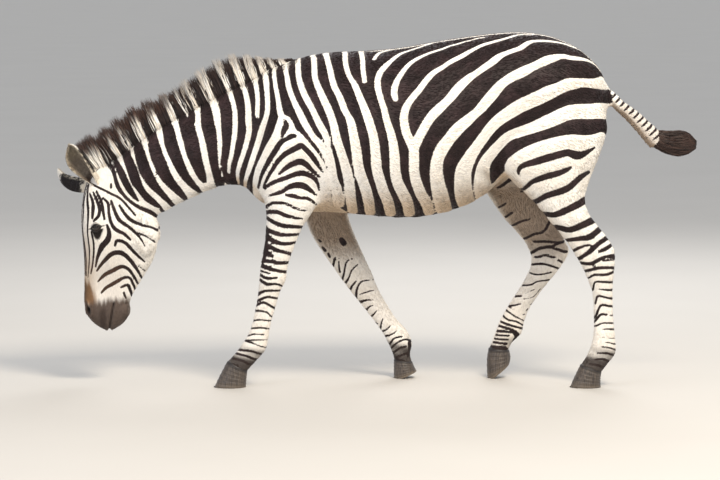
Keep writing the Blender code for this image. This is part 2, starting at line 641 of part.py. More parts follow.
# ---------------------------------------------------------------- ears, eyes, hooves, mouth
def ear_rows(root, tip, faces, bend):
    """Rows along the ear (share, middle, radius, half angle of the opening), and two directions across it."""
    root, tip = np.array(root), np.array(tip)
    axis = (tip - root) / np.linalg.norm(tip - root)
    front = np.array(faces) - axis * np.dot(faces, axis)
    front /= np.linalg.norm(front)
    across = np.cross(axis, front)
    rows = []
    for share, radius, opening, bow in smooth_rows(EAR_FORM, 2):
        middle = root + (tip - root) * share - front * radius * 0.35 + across * bow * bend
        rows.append((share, middle, radius, math.radians(opening)))
    return rows, front, across


def ear(name, place, collection):
    """A rolled leaf: a C-shaped wall whose opening widens from the root and closes to the tip."""
    rows, front, across = ear_rows(**place)
    outer, inner = [], []
    for _, middle, radius, opening in rows:
        wall = min(EAR_THICKNESS, radius * 0.8)
        for angle in np.linspace(opening, 2 * math.pi - opening, EAR_ARC_POINTS):
            ray = front * math.cos(angle) + across * math.sin(angle) * 0.92
            outer.append(middle + ray * radius)
            inner.append(middle + ray * (radius - wall))
    n, rings = EAR_ARC_POINTS, len(rows)
    base = len(outer)
    quads = []
    for r in range(rings - 1):
        for k in range(n - 1):
            a, b, c, d = r * n + k, r * n + k + 1, (r + 1) * n + k + 1, (r + 1) * n + k
            quads.append((a, b, c, d))
            quads.append((base + a, base + d, base + c, base + b))
        for a, d in ((r * n, (r + 1) * n), (r * n + n - 1, (r + 1) * n + n - 1)):
            quads.append((a, d, base + d, base + a))
    for k in range(n - 1):
        for r in (0, rings - 1):
            a, b = r * n + k, r * n + k + 1
            quads.append((a, base + a, base + b, b))
    return outward(object_from(name, outer + inner, quads, collection))


def ear_socket(name, place, collection):
    """The hollow in the head that holds an ear's root, with clearance all round."""
    rows, front, across = ear_rows(**place)
    angles = np.arange(18) * 2 * math.pi / 18
    rays = np.outer(np.cos(angles), front) + np.outer(np.sin(angles), across)
    rings = [middle + rays * (radius * 1.02 + GAP) for share, middle, radius, _ in rows if share < EAR_SUNK]
    step = (rings[0] - rings[1]).mean(axis=0)
    rings[0] = rings[0] + GAP * step / np.linalg.norm(step)
    return closed_tube(name, rings, collection)


def hoof(name, rows, side, collection, cutters):
    """A hoof, cut off flat at the floor: all of a planted sole, or only the tip of a lifted toe."""
    made = loft(name, rows, collection, side, per_station=2, sides=16)
    below = block("floor", (0, 0, -0.05), ((1, 0, 0), (0, 1, 0), (0, 0, 1)), (1.5, 0.5, 0.05), cutters)
    return cut_away(made, below)


def mouth_cutters(collection):
    """Shallow slots on both sides and in front, along the line where the lips meet."""
    (cx, cz), (fx, fz) = MOUTH["corner"], MOUTH["front"]
    along = Vector((fx - cx, 0, fz - cz))
    half = along.length / 2
    along.normalize()
    normal = Vector((along.z, 0, -along.x))
    middle = Vector(((cx + fx) / 2, 0, (cz + fz) / 2))
    cutters = []
    for side in (LEFT, RIGHT):
        centre = middle + Vector((0, side * 0.070, 0))
        size = (half, 0.026 - MOUTH["depth"] / 2, MOUTH["opening"] / 2)
        cutters.append(block("mouth_side", centre, (along, (0, 1, 0), normal), size, collection))
    centre = middle + along * half
    size = (MOUTH["depth"], 0.07, MOUTH["opening"] / 2)
    cutters.append(block("mouth_front", centre, (along, (0, 1, 0), normal), size, collection))
    return cutters


# ---------------------------------------------------------------- build
def build():
    clear_scene()
    zebra = new_collection("plains_zebra")
    cutters = new_collection("cutters")
    flesh = fused_flesh(zebra)

    # Thin cuts part the flesh. The blocks under the hair lines end the legs.
    hooves = {
        "hoof_fore_left": (HOOF_FORE_PLANTED, LEFT),
        "hoof_fore_right": (HOOF_FORE_TRAILING, RIGHT),
        "hoof_hind_left": (HOOF_HIND_PLANTED, LEFT),
        "hoof_hind_right": (HOOF_HIND_LIFTING, RIGHT),
    }
    for slab in cutting_slabs(cutters):
        cut_away(flesh, slab)
    for rows, side in hooves.values():
        cut_away(flesh, coronet_block(rows, side, cutters))
    nodes = parted(flesh, zebra)

    # Hair masses stand in sockets, so the flesh under them is cut back by the same form grown by the gap.
    mane = finish_node(loft("mane", MANE, zebra, per_station=1, sides=14), MANE_HAIR)
    mane_socket = loft("mane_socket", MANE, cutters, grow=HAIR_GAP, per_station=1, sides=14)
    for name in ("head", "neck", "trunk"):
        cut_away(nodes[name], mane_socket)
    tuft = finish_node(loft("tail_tuft", TAIL_TUFT, zebra, per_station=2, sides=16), TUFT_HAIR)
    tuft_socket = loft("tuft_socket", TAIL_TUFT, cutters, grow=HAIR_GAP, per_station=2, sides=16)
    cut_away(nodes["tail_dock"], tuft_socket)

    # Eyes, nostrils, mouth and ears
    for word, side in (("left", LEFT), ("right", RIGHT)):
        place = (EYE_PLACE[0], side * EYE_PLACE[1], EYE_PLACE[2])
        eye = lump(f"eye_{word}", place, (EYE_RADIUS,) * 3, 0, zebra, segments=12)
        finish_node(eye, EYE_GLOSS)
        socket = (EYE_RADIUS + GAP,) * 3
        cut_away(nodes["head"], lump(f"eye_socket_{word}", place, socket, 0, cutters, segments=12))
        x, y, z = NOSTRIL["middle"]
        hole = lump(f"nostril_{word}", (x, side * y, z), NOSTRIL["half_size"], 12, cutters, segments=12)
        cut_away(nodes["head"], hole)
    for cutter in mouth_cutters(cutters):
        cut_away(nodes["head"], cutter)
    for name, place in EARS.items():
        finish_node(ear(name, place, zebra), COAT)
        cut_away(nodes["head"], ear_socket(f"{name}_socket", place, cutters))

    for name, (rows, side) in hooves.items():
        finish_node(hoof(name, rows, side, zebra, cutters), HOOF_HORN, smooth_below=40)
    for obj in nodes.values():
        finish_node(obj, COAT)


build()
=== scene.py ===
# %% [markdown]
# # A life-size zebra, from the fixed frame to the last hair
# The frame is a set of solids that can't be moved: flesh, ears, eyes, mane, tail tuft and hooves.
# This lesson dresses it. One skin takes the place of the flesh, and hair, eyes, ears and hooves go on it.
# Everything is in metres. The animal faces -X, its left side is towards -Y, and it stands on Z = 0.

# %% Load the frame
import json
import math

import bmesh
import bpy
import numpy as np
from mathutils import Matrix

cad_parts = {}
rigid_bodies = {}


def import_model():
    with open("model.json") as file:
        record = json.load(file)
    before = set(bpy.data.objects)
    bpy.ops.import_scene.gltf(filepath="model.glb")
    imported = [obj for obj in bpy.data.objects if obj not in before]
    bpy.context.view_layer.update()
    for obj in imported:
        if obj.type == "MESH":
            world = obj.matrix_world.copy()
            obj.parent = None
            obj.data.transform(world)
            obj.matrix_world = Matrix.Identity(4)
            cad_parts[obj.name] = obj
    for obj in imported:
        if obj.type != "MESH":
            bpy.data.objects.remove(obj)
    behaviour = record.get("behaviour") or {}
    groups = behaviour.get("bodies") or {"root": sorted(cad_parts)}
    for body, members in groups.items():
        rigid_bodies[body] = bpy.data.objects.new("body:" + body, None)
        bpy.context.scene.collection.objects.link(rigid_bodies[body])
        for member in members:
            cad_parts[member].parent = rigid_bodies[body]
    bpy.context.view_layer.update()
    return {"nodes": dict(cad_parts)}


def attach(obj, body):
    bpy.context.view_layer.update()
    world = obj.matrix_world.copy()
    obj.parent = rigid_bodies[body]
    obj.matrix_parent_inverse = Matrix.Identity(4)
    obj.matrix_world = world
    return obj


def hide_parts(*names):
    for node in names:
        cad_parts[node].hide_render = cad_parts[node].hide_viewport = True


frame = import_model()
rng = np.random.default_rng(11)
print("nodes in the frame:", len(frame["nodes"]))

# %% [markdown]
# ## Small helpers
# Screen colours are written as sRGB hex, but a shader adds light up, so it wants linear values.
# Meshes here come from arrays: a surface is a function of two parameters on a grid, and
# `foreach_set` puts thousands of points in at once, which no loop over vertices can match.


# %% Colour, mesh and modifier helpers
def linear(hex_colour):
    """sRGB hex to linear: c / 12.92 below 0.04045, otherwise ((c + 0.055) / 1.055) to the power 2.4."""
    c = np.array([int(hex_colour[i : i + 2], 16) for i in (1, 3, 5)]) / 255
    return np.where(c <= 0.04045, c / 12.92, ((c + 0.055) / 1.055) ** 2.4)


def mesh_piece(name, points, faces):
    """An object at the origin from (n, 3) points and an (m, 3) or (m, 4) array of faces."""
    mesh = bpy.data.meshes.new(name)
    faces = np.asarray(faces, np.int32)
    count, corners = faces.shape
    mesh.vertices.add(len(points))
    mesh.vertices.foreach_set("co", np.asarray(points, np.float32).ravel())
    mesh.loops.add(count * corners)
    mesh.loops.foreach_set("vertex_index", faces.ravel())
    mesh.polygons.add(count)
    mesh.polygons.foreach_set("loop_start", np.arange(count, dtype=np.int32) * corners)
    mesh.update(calc_edges=True)
    mesh.validate()
    mesh.shade_smooth()
    made = bpy.data.objects.new(name, mesh)
    bpy.context.scene.collection.objects.link(made)
    return made


def points_of(obj):
    """The mesh's points as an (n, 3) array."""
    found = np.empty(len(obj.data.vertices) * 3, np.float32)
    obj.data.vertices.foreach_get("co", found)
    return found.reshape(-1, 3).astype(float)


def normals_of(obj):
    """The unit normal at each point of the mesh."""
    found = np.empty(len(obj.data.vertices) * 3, np.float32)
    obj.data.vertex_normals.foreach_get("vector", found)
    return found.reshape(-1, 3).astype(float)


def move_points(obj, points):
    obj.data.vertices.foreach_set("co", points.astype(np.float32).ravel())
    obj.data.update()


def note(obj, name, values):
    """Keeps one number per point on the mesh, where a material can read it."""
    layer = obj.data.attributes.new(name, "FLOAT", "POINT")
    layer.data.foreach_set("value", np.asarray(values, np.float32))


def baked(obj):
    """The modifiers' result as the object's own mesh."""
    mesh = bpy.data.meshes.new_from_object(obj.evaluated_get(bpy.context.evaluated_depsgraph_get()))
    obj.modifiers.clear()
    obj.data = mesh
    return obj


def ease(low, high, value):
    """0 below low, 1 above high, and 3t^2 - 2t^3 between them."""
    t = np.clip((value - low) / (high - low), 0, 1)
    return t * t * (3 - 2 * t)


def unit(vectors):
    """Each vector divided by its length."""
    return vectors / np.maximum(np.linalg.norm(vectors, axis=-1, keepdims=True), 1e-12)


def off_segments(places, starts, edges):
    """For each place and each segment: the share along it of the nearest spot, (gap . edge) / (edge . edge)
    held between 0 and 1, and the step from that spot to the place."""
    gap = places[:, None] - starts
    share = np.clip((gap * edges).sum(-1) / (edges**2).sum(-1), 0, 1)
    return share, gap - share[..., None] * edges


def facing_out(points, faces):
    """The faces, turned round where the volume that they enclose, a sum of a . (b x c), is negative."""
    a, b, c = (points[faces[:, i]] for i in range(3))
    return faces if np.einsum("ij,ij->i", a, np.cross(b, c)).sum() > 0 else faces[:, ::-1]


# %% [markdown]
# ## The body as sections
# A horse's body is a set of tubes: trunk, neck, head, tail and four legs. Each tube is a row of
# sections, and each section is two half superellipses that share their widest line. Sculpting by hand
# would give more character, but sections keep the sizes of the frame, so the skin fits inside it.
# A row reads: upper x, z, lower x, z, half width, where it is widest, roundness, distance to the side.
# The planted legs are the left ones. The right foreleg trails and the right hind leg is lifting.

# %% The tables of sections
TRUNK = [
    (-0.430, 1.020, -0.468, 0.715, 0.095, 0.42, 2.0),
    (-0.400, 1.095, -0.440, 0.672, 0.140, 0.42, 1.9),
    (-0.346, 1.150, -0.372, 0.636, 0.182, 0.44, 1.7),
    (-0.274, 1.178, -0.280, 0.620, 0.210, 0.45, 1.7),
    (-0.166, 1.196, -0.166, 0.619, 0.236, 0.45, 1.8),
    (-0.040, 1.202, -0.040, 0.608, 0.264, 0.43, 1.9),
    (0.086, 1.213, 0.086, 0.599, 0.283, 0.42, 1.9),
    (0.194, 1.232, 0.200, 0.607, 0.284, 0.43, 1.9),
    (0.302, 1.249, 0.310, 0.638, 0.266, 0.47, 1.9),
    (0.410, 1.263, 0.396, 0.684, 0.248, 0.54, 1.9),
    (0.518, 1.269, 0.464, 0.745, 0.236, 0.58, 1.9),
    (0.626, 1.254, 0.554, 0.775, 0.218, 0.60, 1.9),
    (0.716, 1.216, 0.662, 0.800, 0.190, 0.60, 2.0),
    (0.778, 1.166, 0.755, 0.840, 0.148, 0.60, 2.0),
    (0.812, 1.120, 0.805, 0.900, 0.098, 0.58, 2.0),
    (0.828, 1.070, 0.828, 0.965, 0.045, 0.55, 2.0),
]

NECK = [
    (-0.270, 1.150, -0.400, 0.700, 0.130, 0.42, 1.7),
    (-0.372, 1.146, -0.492, 0.714, 0.136, 0.40, 1.6),
    (-0.454, 1.096, -0.551, 0.713, 0.118, 0.40, 1.6),
    (-0.536, 1.058, -0.610, 0.694, 0.103, 0.42, 1.6),
    (-0.634, 1.008, -0.668, 0.668, 0.093, 0.44, 1.6),
    (-0.734, 0.957, -0.722, 0.642, 0.087, 0.46, 1.6),
    (-0.832, 0.893, -0.766, 0.617, 0.083, 0.48, 1.7),
    (-0.908, 0.838, -0.800, 0.607, 0.078, 0.50, 1.8),
    (-0.972, 0.795, -0.845, 0.620, 0.070, 0.52, 1.9),
    (-0.998, 0.765, -0.890, 0.640, 0.045, 0.52, 2.0),
]

HEAD = [
    (-1.000, 0.786, -0.930, 0.735, 0.030, 0.50, 2.0),
    (-1.024, 0.768, -0.880, 0.690, 0.062, 0.54, 2.2),
    (-1.046, 0.727, -0.822, 0.640, 0.080, 0.62, 2.5),
    (-1.058, 0.679, -0.790, 0.599, 0.090, 0.68, 2.7),
    (-1.064, 0.620, -0.783, 0.556, 0.100, 0.74, 2.8),
    (-1.064, 0.560, -0.787, 0.505, 0.098, 0.76, 2.7),
    (-1.060, 0.502, -0.802, 0.450, 0.082, 0.72, 2.4),
    (-1.057, 0.445, -0.828, 0.402, 0.067, 0.66, 2.2),
    (-1.057, 0.391, -0.853, 0.361, 0.057, 0.60, 2.2),
    (-1.057, 0.340, -0.877, 0.321, 0.054, 0.56, 2.3),
    (-1.058, 0.301, -0.889, 0.291, 0.059, 0.56, 2.5),
    (-1.053, 0.265, -0.888, 0.262, 0.062, 0.54, 2.6),
    (-1.038, 0.232, -0.898, 0.234, 0.056, 0.52, 2.5),
    (-1.013, 0.208, -0.918, 0.211, 0.042, 0.50, 2.3),
    (-0.985, 0.191, -0.945, 0.193, 0.018, 0.50, 2.0),
]

FORELEG_PLANTED = [
    (-0.425, 0.900, -0.230, 0.900, 0.064, 0.5, 2.0, 0.105),
    (-0.422, 0.800, -0.205, 0.780, 0.074, 0.5, 2.0, 0.122),
    (-0.412, 0.715, -0.200, 0.695, 0.074, 0.5, 2.0, 0.130),
    (-0.398, 0.646, -0.222, 0.632, 0.066, 0.5, 2.1, 0.133),
    (-0.396, 0.592, -0.250, 0.590, 0.057, 0.5, 2.1, 0.132),
    (-0.399, 0.528, -0.282, 0.527, 0.049, 0.5, 2.1, 0.130),
    (-0.409, 0.475, -0.303, 0.471, 0.043, 0.5, 2.1, 0.128),
    (-0.416, 0.429, -0.315, 0.428, 0.042, 0.5, 2.3, 0.127),
    (-0.420, 0.386, -0.322, 0.384, 0.041, 0.5, 2.4, 0.127),
    (-0.424, 0.343, -0.342, 0.340, 0.034, 0.5, 2.2, 0.127),
    (-0.434, 0.286, -0.359, 0.283, 0.028, 0.5, 2.0, 0.127),
    (-0.446, 0.228, -0.376, 0.222, 0.029, 0.5, 2.0, 0.127),
    (-0.460, 0.190, -0.384, 0.176, 0.035, 0.5, 2.1, 0.127),
    (-0.481, 0.156, -0.394, 0.134, 0.038, 0.5, 2.2, 0.127),
    (-0.503, 0.126, -0.430, 0.090, 0.033, 0.5, 2.1, 0.128),
    (-0.530, 0.096, -0.458, 0.060, 0.038, 0.5, 2.1, 0.129),
    (-0.546, 0.078, -0.474, 0.042, 0.038, 0.5, 2.1, 0.129),
]

FORELEG_TRAILING = [
    (-0.375, 0.900, -0.180, 0.900, 0.064, 0.5, 2.0, 0.105),
    (-0.355, 0.800, -0.140, 0.790, 0.074, 0.5, 2.0, 0.120),
    (-0.325, 0.715, -0.112, 0.716, 0.074, 0.5, 2.0, 0.126),
    (-0.288, 0.640, -0.105, 0.656, 0.066, 0.5, 2.1, 0.128),
    (-0.258, 0.574, -0.100, 0.600, 0.057, 0.5, 2.1, 0.127),
    (-0.228, 0.512, -0.084, 0.546, 0.050, 0.5, 2.1, 0.126),
    (-0.190, 0.452, -0.060, 0.489, 0.044, 0.5, 2.1, 0.125),
    (-0.150, 0.396, -0.034, 0.432, 0.042, 0.5, 2.3, 0.124),
    (-0.116, 0.347, -0.010, 0.380, 0.041, 0.5, 2.4, 0.124),
    (-0.082, 0.302, 0.010, 0.330, 0.034, 0.5, 2.2, 0.124),
    (-0.039, 0.248, 0.042, 0.272, 0.028, 0.5, 2.0, 0.124),
    (0.002, 0.194, 0.078, 0.216, 0.029, 0.5, 2.0, 0.124),
    (0.026, 0.160, 0.114, 0.176, 0.035, 0.5, 2.1, 0.124),
    (0.045, 0.124, 0.135, 0.128, 0.038, 0.5, 2.2, 0.124),
    (0.058, 0.094, 0.128, 0.088, 0.033, 0.5, 2.1, 0.125),
    (0.066, 0.068, 0.134, 0.060, 0.037, 0.5, 2.1, 0.126),
    (0.070, 0.048, 0.138, 0.042, 0.037, 0.5, 2.1, 0.126),
]

HINDLEG_PLANTED = [
    (0.470, 1.080, 0.745, 1.080, 0.070, 0.5, 2.0, 0.110),
    (0.432, 0.960, 0.812, 1.000, 0.092, 0.5, 2.1, 0.118),
    (0.426, 0.860, 0.824, 0.920, 0.102, 0.5, 2.1, 0.124),
    (0.448, 0.782, 0.803, 0.850, 0.100, 0.5, 2.1, 0.128),
    (0.486, 0.734, 0.783, 0.795, 0.092, 0.5, 2.1, 0.130),
    (0.523, 0.700, 0.764, 0.744, 0.082, 0.5, 2.1, 0.132),
    (0.566, 0.658, 0.748, 0.684, 0.070, 0.5, 2.1, 0.133),
    (0.608, 0.607, 0.757, 0.632, 0.060, 0.5, 2.0, 0.133),
    (0.647, 0.562, 0.794, 0.580, 0.051, 0.5, 1.9, 0.132),
    (0.683, 0.516, 0.832, 0.532, 0.045, 0.5, 1.9, 0.131),
    (0.712, 0.471, 0.855, 0.487, 0.043, 0.5, 2.1, 0.130),
    (0.737, 0.429, 0.856, 0.440, 0.042, 0.5, 2.3, 0.129),
    (0.757, 0.382, 0.851, 0.386, 0.037, 0.5, 2.2, 0.128),
    (0.773, 0.332, 0.849, 0.332, 0.031, 0.5, 2.0, 0.128),
    (0.777, 0.243, 0.853, 0.243, 0.029, 0.5, 2.0, 0.128),
    (0.777, 0.190, 0.859, 0.180, 0.035, 0.5, 2.1, 0.128),
    (0.768, 0.146, 0.861, 0.124, 0.038, 0.5, 2.2, 0.128),
    (0.753, 0.112, 0.834, 0.084, 0.033, 0.5, 2.1, 0.129),
    (0.736, 0.084, 0.812, 0.056, 0.038, 0.5, 2.1, 0.130),
    (0.724, 0.066, 0.800, 0.038, 0.038, 0.5, 2.1, 0.130),
]

HINDLEG_LIFTING = [
    (0.420, 1.080, 0.700, 1.080, 0.070, 0.5, 2.0, 0.110),
    (0.372, 0.940, 0.770, 0.990, 0.092, 0.5, 2.1, 0.118),
    (0.356, 0.830, 0.785, 0.890, 0.102, 0.5, 2.1, 0.124),
    (0.364, 0.748, 0.775, 0.810, 0.098, 0.5, 2.1, 0.128),
    (0.392, 0.688, 0.752, 0.735, 0.088, 0.5, 2.1, 0.130),
    (0.430, 0.634, 0.716, 0.660, 0.074, 0.5, 2.1, 0.130),
    (0.470, 0.582, 0.688, 0.598, 0.062, 0.5, 2.0, 0.130),
    (0.514, 0.534, 0.682, 0.540, 0.052, 0.5, 1.9, 0.129),
    (0.546, 0.492, 0.696, 0.500, 0.046, 0.5, 1.9, 0.128),
    (0.565, 0.444, 0.708, 0.466, 0.043, 0.5, 2.1, 0.127),
    (0.562, 0.403, 0.686, 0.420, 0.042, 0.5, 2.3, 0.127),
    (0.544, 0.364, 0.650, 0.372, 0.037, 0.5, 2.2, 0.126),
    (0.520, 0.324, 0.611, 0.324, 0.031, 0.5, 2.0, 0.126),
    (0.480, 0.262, 0.566, 0.256, 0.029, 0.5, 2.0, 0.125),
    (0.455, 0.216, 0.545, 0.204, 0.035, 0.5, 2.1, 0.125),
    (0.440, 0.178, 0.536, 0.164, 0.038, 0.5, 2.2, 0.125),
    (0.428, 0.144, 0.504, 0.132, 0.033, 0.5, 2.1, 0.126),
    (0.415, 0.110, 0.489, 0.104, 0.038, 0.5, 2.1, 0.127),
    (0.413, 0.088, 0.489, 0.084, 0.038, 0.5, 2.1, 0.127),
]

TAIL_DOCK = [
    (0.765, 1.130, 0.775, 1.040, 0.036, 0.5, 2.0),
    (0.812, 1.104, 0.796, 1.036, 0.030, 0.5, 2.0),
    (0.848, 1.066, 0.824, 1.018, 0.024, 0.5, 2.0),
    (0.894, 1.020, 0.862, 0.984, 0.023, 0.5, 2.0),
    (0.940, 0.988, 0.900, 0.948, 0.024, 0.5, 2.0),
    (0.985, 0.948, 0.941, 0.902, 0.026, 0.5, 2.0),
    (1.022, 0.914, 0.974, 0.862, 0.027, 0.5, 2.0),
    (1.040, 0.896, 0.990, 0.846, 0.024, 0.5, 2.0),
]

TAIL_TUFT = [
    (1.005, 0.914, 0.975, 0.876, 0.018, 0.5, 2.0),
    (1.026, 0.926, 0.990, 0.846, 0.028, 0.5, 2.0),
    (1.062, 0.928, 1.028, 0.818, 0.033, 0.5, 2.0),
    (1.104, 0.934, 1.078, 0.800, 0.034, 0.5, 2.0),
    (1.142, 0.933, 1.122, 0.792, 0.030, 0.5, 2.0),
    (1.163, 0.914, 1.150, 0.808, 0.014, 0.5, 2.0),
]

# The mane stands upright on the crest: hair tips, then roots sunk into the neck.
MANE = [
    (-1.096, 0.862, -1.010, 0.752, 0.008, 0.30, 1.6),
    (-1.060, 0.895, -0.980, 0.766, 0.015, 0.30, 1.6),
    (-1.000, 0.932, -0.932, 0.796, 0.018, 0.30, 1.6),
    (-0.935, 0.980, -0.882, 0.834, 0.018, 0.30, 1.6),
    (-0.868, 1.020, -0.832, 0.872, 0.018, 0.30, 1.6),
    (-0.800, 1.045, -0.772, 0.914, 0.018, 0.30, 1.6),
    (-0.735, 1.080, -0.706, 0.952, 0.018, 0.30, 1.6),
    (-0.668, 1.127, -0.634, 0.986, 0.018, 0.30, 1.6),
    (-0.600, 1.170, -0.566, 1.022, 0.018, 0.30, 1.6),
    (-0.530, 1.198, -0.500, 1.054, 0.018, 0.30, 1.6),
    (-0.465, 1.194, -0.448, 1.078, 0.017, 0.30, 1.6),
    (-0.405, 1.182, -0.400, 1.112, 0.015, 0.30, 1.6),
    (-0.345, 1.176, -0.345, 1.134, 0.010, 0.30, 1.6),
    (-0.290, 1.179, -0.292, 1.156, 0.004, 0.30, 1.6),
]

# Hooves: wall in front, heel behind, from the hair line to below the floor, where they are cut off flat.
HOOF_FORE_PLANTED = [
    (-0.5335, 0.0925, -0.4615, 0.0565, 0.0385, 0.5, 2.2, 0.129),
    (-0.552, 0.058, -0.464, 0.034, 0.043, 0.5, 2.2, 0.129),
    (-0.572, 0.018, -0.466, 0.010, 0.048, 0.5, 2.3, 0.129),
    (-0.583, -0.012, -0.467, -0.012, 0.049, 0.5, 2.3, 0.129),
]

HOOF_FORE_TRAILING = [
    (0.0660, 0.0660, 0.1345, 0.0580, 0.0375, 0.5, 2.2, 0.126),
    (0.066, 0.040, 0.140, 0.044, 0.042, 0.5, 2.2, 0.126),
    (0.066, 0.010, 0.146, 0.032, 0.046, 0.5, 2.3, 0.126),
    (0.067, -0.012, 0.150, 0.024, 0.045, 0.5, 2.3, 0.126),
]

HOOF_HIND_PLANTED = [
    (0.7330, 0.0810, 0.8090, 0.0530, 0.0385, 0.5, 2.2, 0.130),
    (0.719, 0.052, 0.806, 0.032, 0.043, 0.5, 2.2, 0.130),
    (0.703, 0.016, 0.806, 0.010, 0.047, 0.5, 2.3, 0.130),
    (0.694, -0.012, 0.807, -0.012, 0.048, 0.5, 2.3, 0.130),
]

HOOF_HIND_LIFTING = [
    (0.4125, 0.1070, 0.4895, 0.1010, 0.0385, 0.5, 2.2, 0.127),
    (0.407, 0.066, 0.494, 0.078, 0.043, 0.5, 2.2, 0.127),
    (0.408, 0.016, 0.492, 0.060, 0.046, 0.5, 2.3, 0.127),
    (0.412, -0.014, 0.488, 0.048, 0.045, 0.5, 2.3, 0.127),
]

# Each ear: where its root starts inside the head, its tip, the way its opening faces and the way it bows.
EARS = {
    "ear_left": {
        "root": (-0.988, -0.050, 0.700),
        "tip": (-1.099, -0.092, 0.868),
        "faces": (-0.30, -0.92, -0.10),
        "bend": -1,
    },
    "ear_right": {
        "root": (-0.996, 0.042, 0.698),
        "tip": (-1.160, 0.148, 0.766),
        "faces": (-0.20, 0.45, 0.85),
        "bend": 1,
    },
}

# Share of the ear's length, radius across, half angle of the opening in degrees, bow of its midline.
EAR_FORM = [
    (0.00, 0.017, 18, 0.000),
    (0.15, 0.020, 24, 0.000),
    (0.28, 0.026, 42, 0.005),
    (0.46, 0.034, 62, 0.014),
    (0.64, 0.038, 76, 0.020),
    (0.80, 0.033, 82, 0.016),
    (0.93, 0.018, 84, 0.006),
    (1.00, 0.004, 78, 0.000),
]
EAR_THICKNESS = 0.0045
EYE_RADIUS = 0.0205
EYE_PLACE = (-1.002, 0.0870, 0.571)  # mirrored for the other eye
tables = (TRUNK, NECK, HEAD, TAIL_DOCK, TAIL_TUFT, MANE)
tables += (FORELEG_PLANTED, FORELEG_TRAILING, HINDLEG_PLANTED, HINDLEG_LIFTING)
print("sections drawn:", sum(len(rows) for rows in tables))

# Round lumps of muscle and bone under the skin: middle, half sizes, turn about Y in degrees.
LUMPS = [
    ((-0.852, 0.046, 0.540), (0.074, 0.036, 0.088), 10),  # cheek
    ((-1.012, 0.070, 0.588), (0.034, 0.026, 0.034), 0),  # brow
    ((-1.030, 0.036, 0.272), (0.024, 0.024, 0.036), 0),  # nostril
    ((-0.915, 0.018, 0.262), (0.028, 0.034, 0.032), 0),  # chin
    ((-0.330, 0.118, 0.860), (0.090, 0.086, 0.200), 18),  # shoulder
    ((-0.445, 0.085, 0.800), (0.060, 0.066, 0.085), 0),  # point of the shoulder
    ((0.520, 0.130, 0.840), (0.095, 0.094, 0.120), -20),  # stifle
]

# Places where two masses meet in a fold that the skin bridges: middle, reach.
SOFT_FOLDS = [
    ((-0.300, 0.0, 0.660), 0.130),
    ((-0.450, 0.0, 0.760), 0.170),
    ((-0.330, 0.0, 1.080), 0.150),
    ((-0.880, 0.0, 0.640), 0.110),
    ((-0.960, 0.0, 0.760), 0.070),
    ((0.440, 0.0, 0.740), 0.150),
    ((0.600, 0.0, 0.760), 0.190),
    ((0.800, 0.0, 1.060), 0.060),
]

NOSTRIL_PLACE = (-1.046, 0.050, 0.266)
MOUTH_CORNER, MOUTH_FRONT = (-0.944, 0.296), (-0.966, 0.184)  # x and z of the two ends of the lips

# %% From tables to rings of points
COAT_DEPTH = 0.0030  # the skin lies this far inside the solids, to leave room for hair
LOWER_ROUNDNESS = 2.1  # the lower half of every section; the upper half has its own


def smooth_rows(rows, per_station):
    """A Catmull-Rom curve through every column: half of 2b + (c-a)t + (2a-5b+4c-d)t^2 + (3b-a-3c+d)t^3,
    where b and c are the stations on both sides and a and d the ones beyond them."""
    rows = np.array(rows, float)
    p = np.vstack([2 * rows[0] - rows[1], rows, 2 * rows[-1] - rows[-2]])
    t = (np.arange(per_station) / per_station)[None, :, None]
    a, b, c, d = (p[i : len(p) - 3 + i, None, :] for i in range(4))
    square, cube = 2 * a - 5 * b + 4 * c - d, 3 * b - a - 3 * c + d
    curve = 0.5 * (2 * b + (c - a) * t + square * t**2 + cube * t**3)
    return np.vstack([curve.reshape(-1, rows.shape[1]), rows[-1:]])


def frames_along(rows, side=1):
    """For each row: the middle of its widest line, the unit direction to its upper point, its depth, and how
    far it lies to the side."""
    upper, lower = rows[:, 0:2], rows[:, 2:4]
    depth = np.linalg.norm(upper - lower, axis=1)
    along = (upper - lower) / depth[:, None]
    middle = lower + along * (depth * rows[:, 5])[:, None]
    offset = side * rows[:, 7] if rows.shape[1] > 7 else np.zeros(len(rows))
    return middle, along, depth, offset


def section_rings(rows, side=1, grow=0.0, sides=40):
    """Points round each section: x, z = middle + along * sgn(s)|s|^p * reach and y = sgn(c)|c|^p * half
    width, where c and s are the cosine and sine of the turn and p is 2 over the roundness."""
    middle, along, depth, offset = frames_along(rows, side)
    angle = np.arange(sides) * 2 * np.pi / sides
    c, s = np.cos(angle)[None, :], np.sin(angle)[None, :]
    power = np.where(s > 0, 2 / rows[:, 6:7], 2 / LOWER_ROUNDNESS)
    reach = np.where(s > 0, (1 - rows[:, 5:6]) * depth[:, None], rows[:, 5:6] * depth[:, None]) + grow
    across = np.sign(c) * np.abs(c) ** power * (rows[:, 4:5] + grow)
    up = np.sign(s) * np.abs(s) ** power * reach
    x = middle[:, 0:1] + along[:, 0:1] * up
    z = middle[:, 1:2] + along[:, 1:2] * up
    return np.stack([x, offset[:, None] + across, z], axis=2)


def tube_faces(rings, sides):
    """Triangles round and along a tube, two to a cell, and a fan of them at each end."""
    r, k = np.meshgrid(np.arange(rings - 1), np.arange(sides), indexing="ij")
    a, b = r * sides + k, r * sides + (k + 1) % sides
    sheet = np.stack([a, b, b + sides, a, b + sides, a + sides], axis=-1).reshape(-1, 3)
    k = np.arange(sides)
    first, last, end = rings * sides, rings * sides + 1, (rings - 1) * sides
    cap_a = np.stack([np.full(sides, first), (k + 1) % sides, k], axis=1)
    cap_b = np.stack([np.full(sides, last), end + k, end + (k + 1) % sides], axis=1)
    return np.concatenate([sheet, cap_a, cap_b])


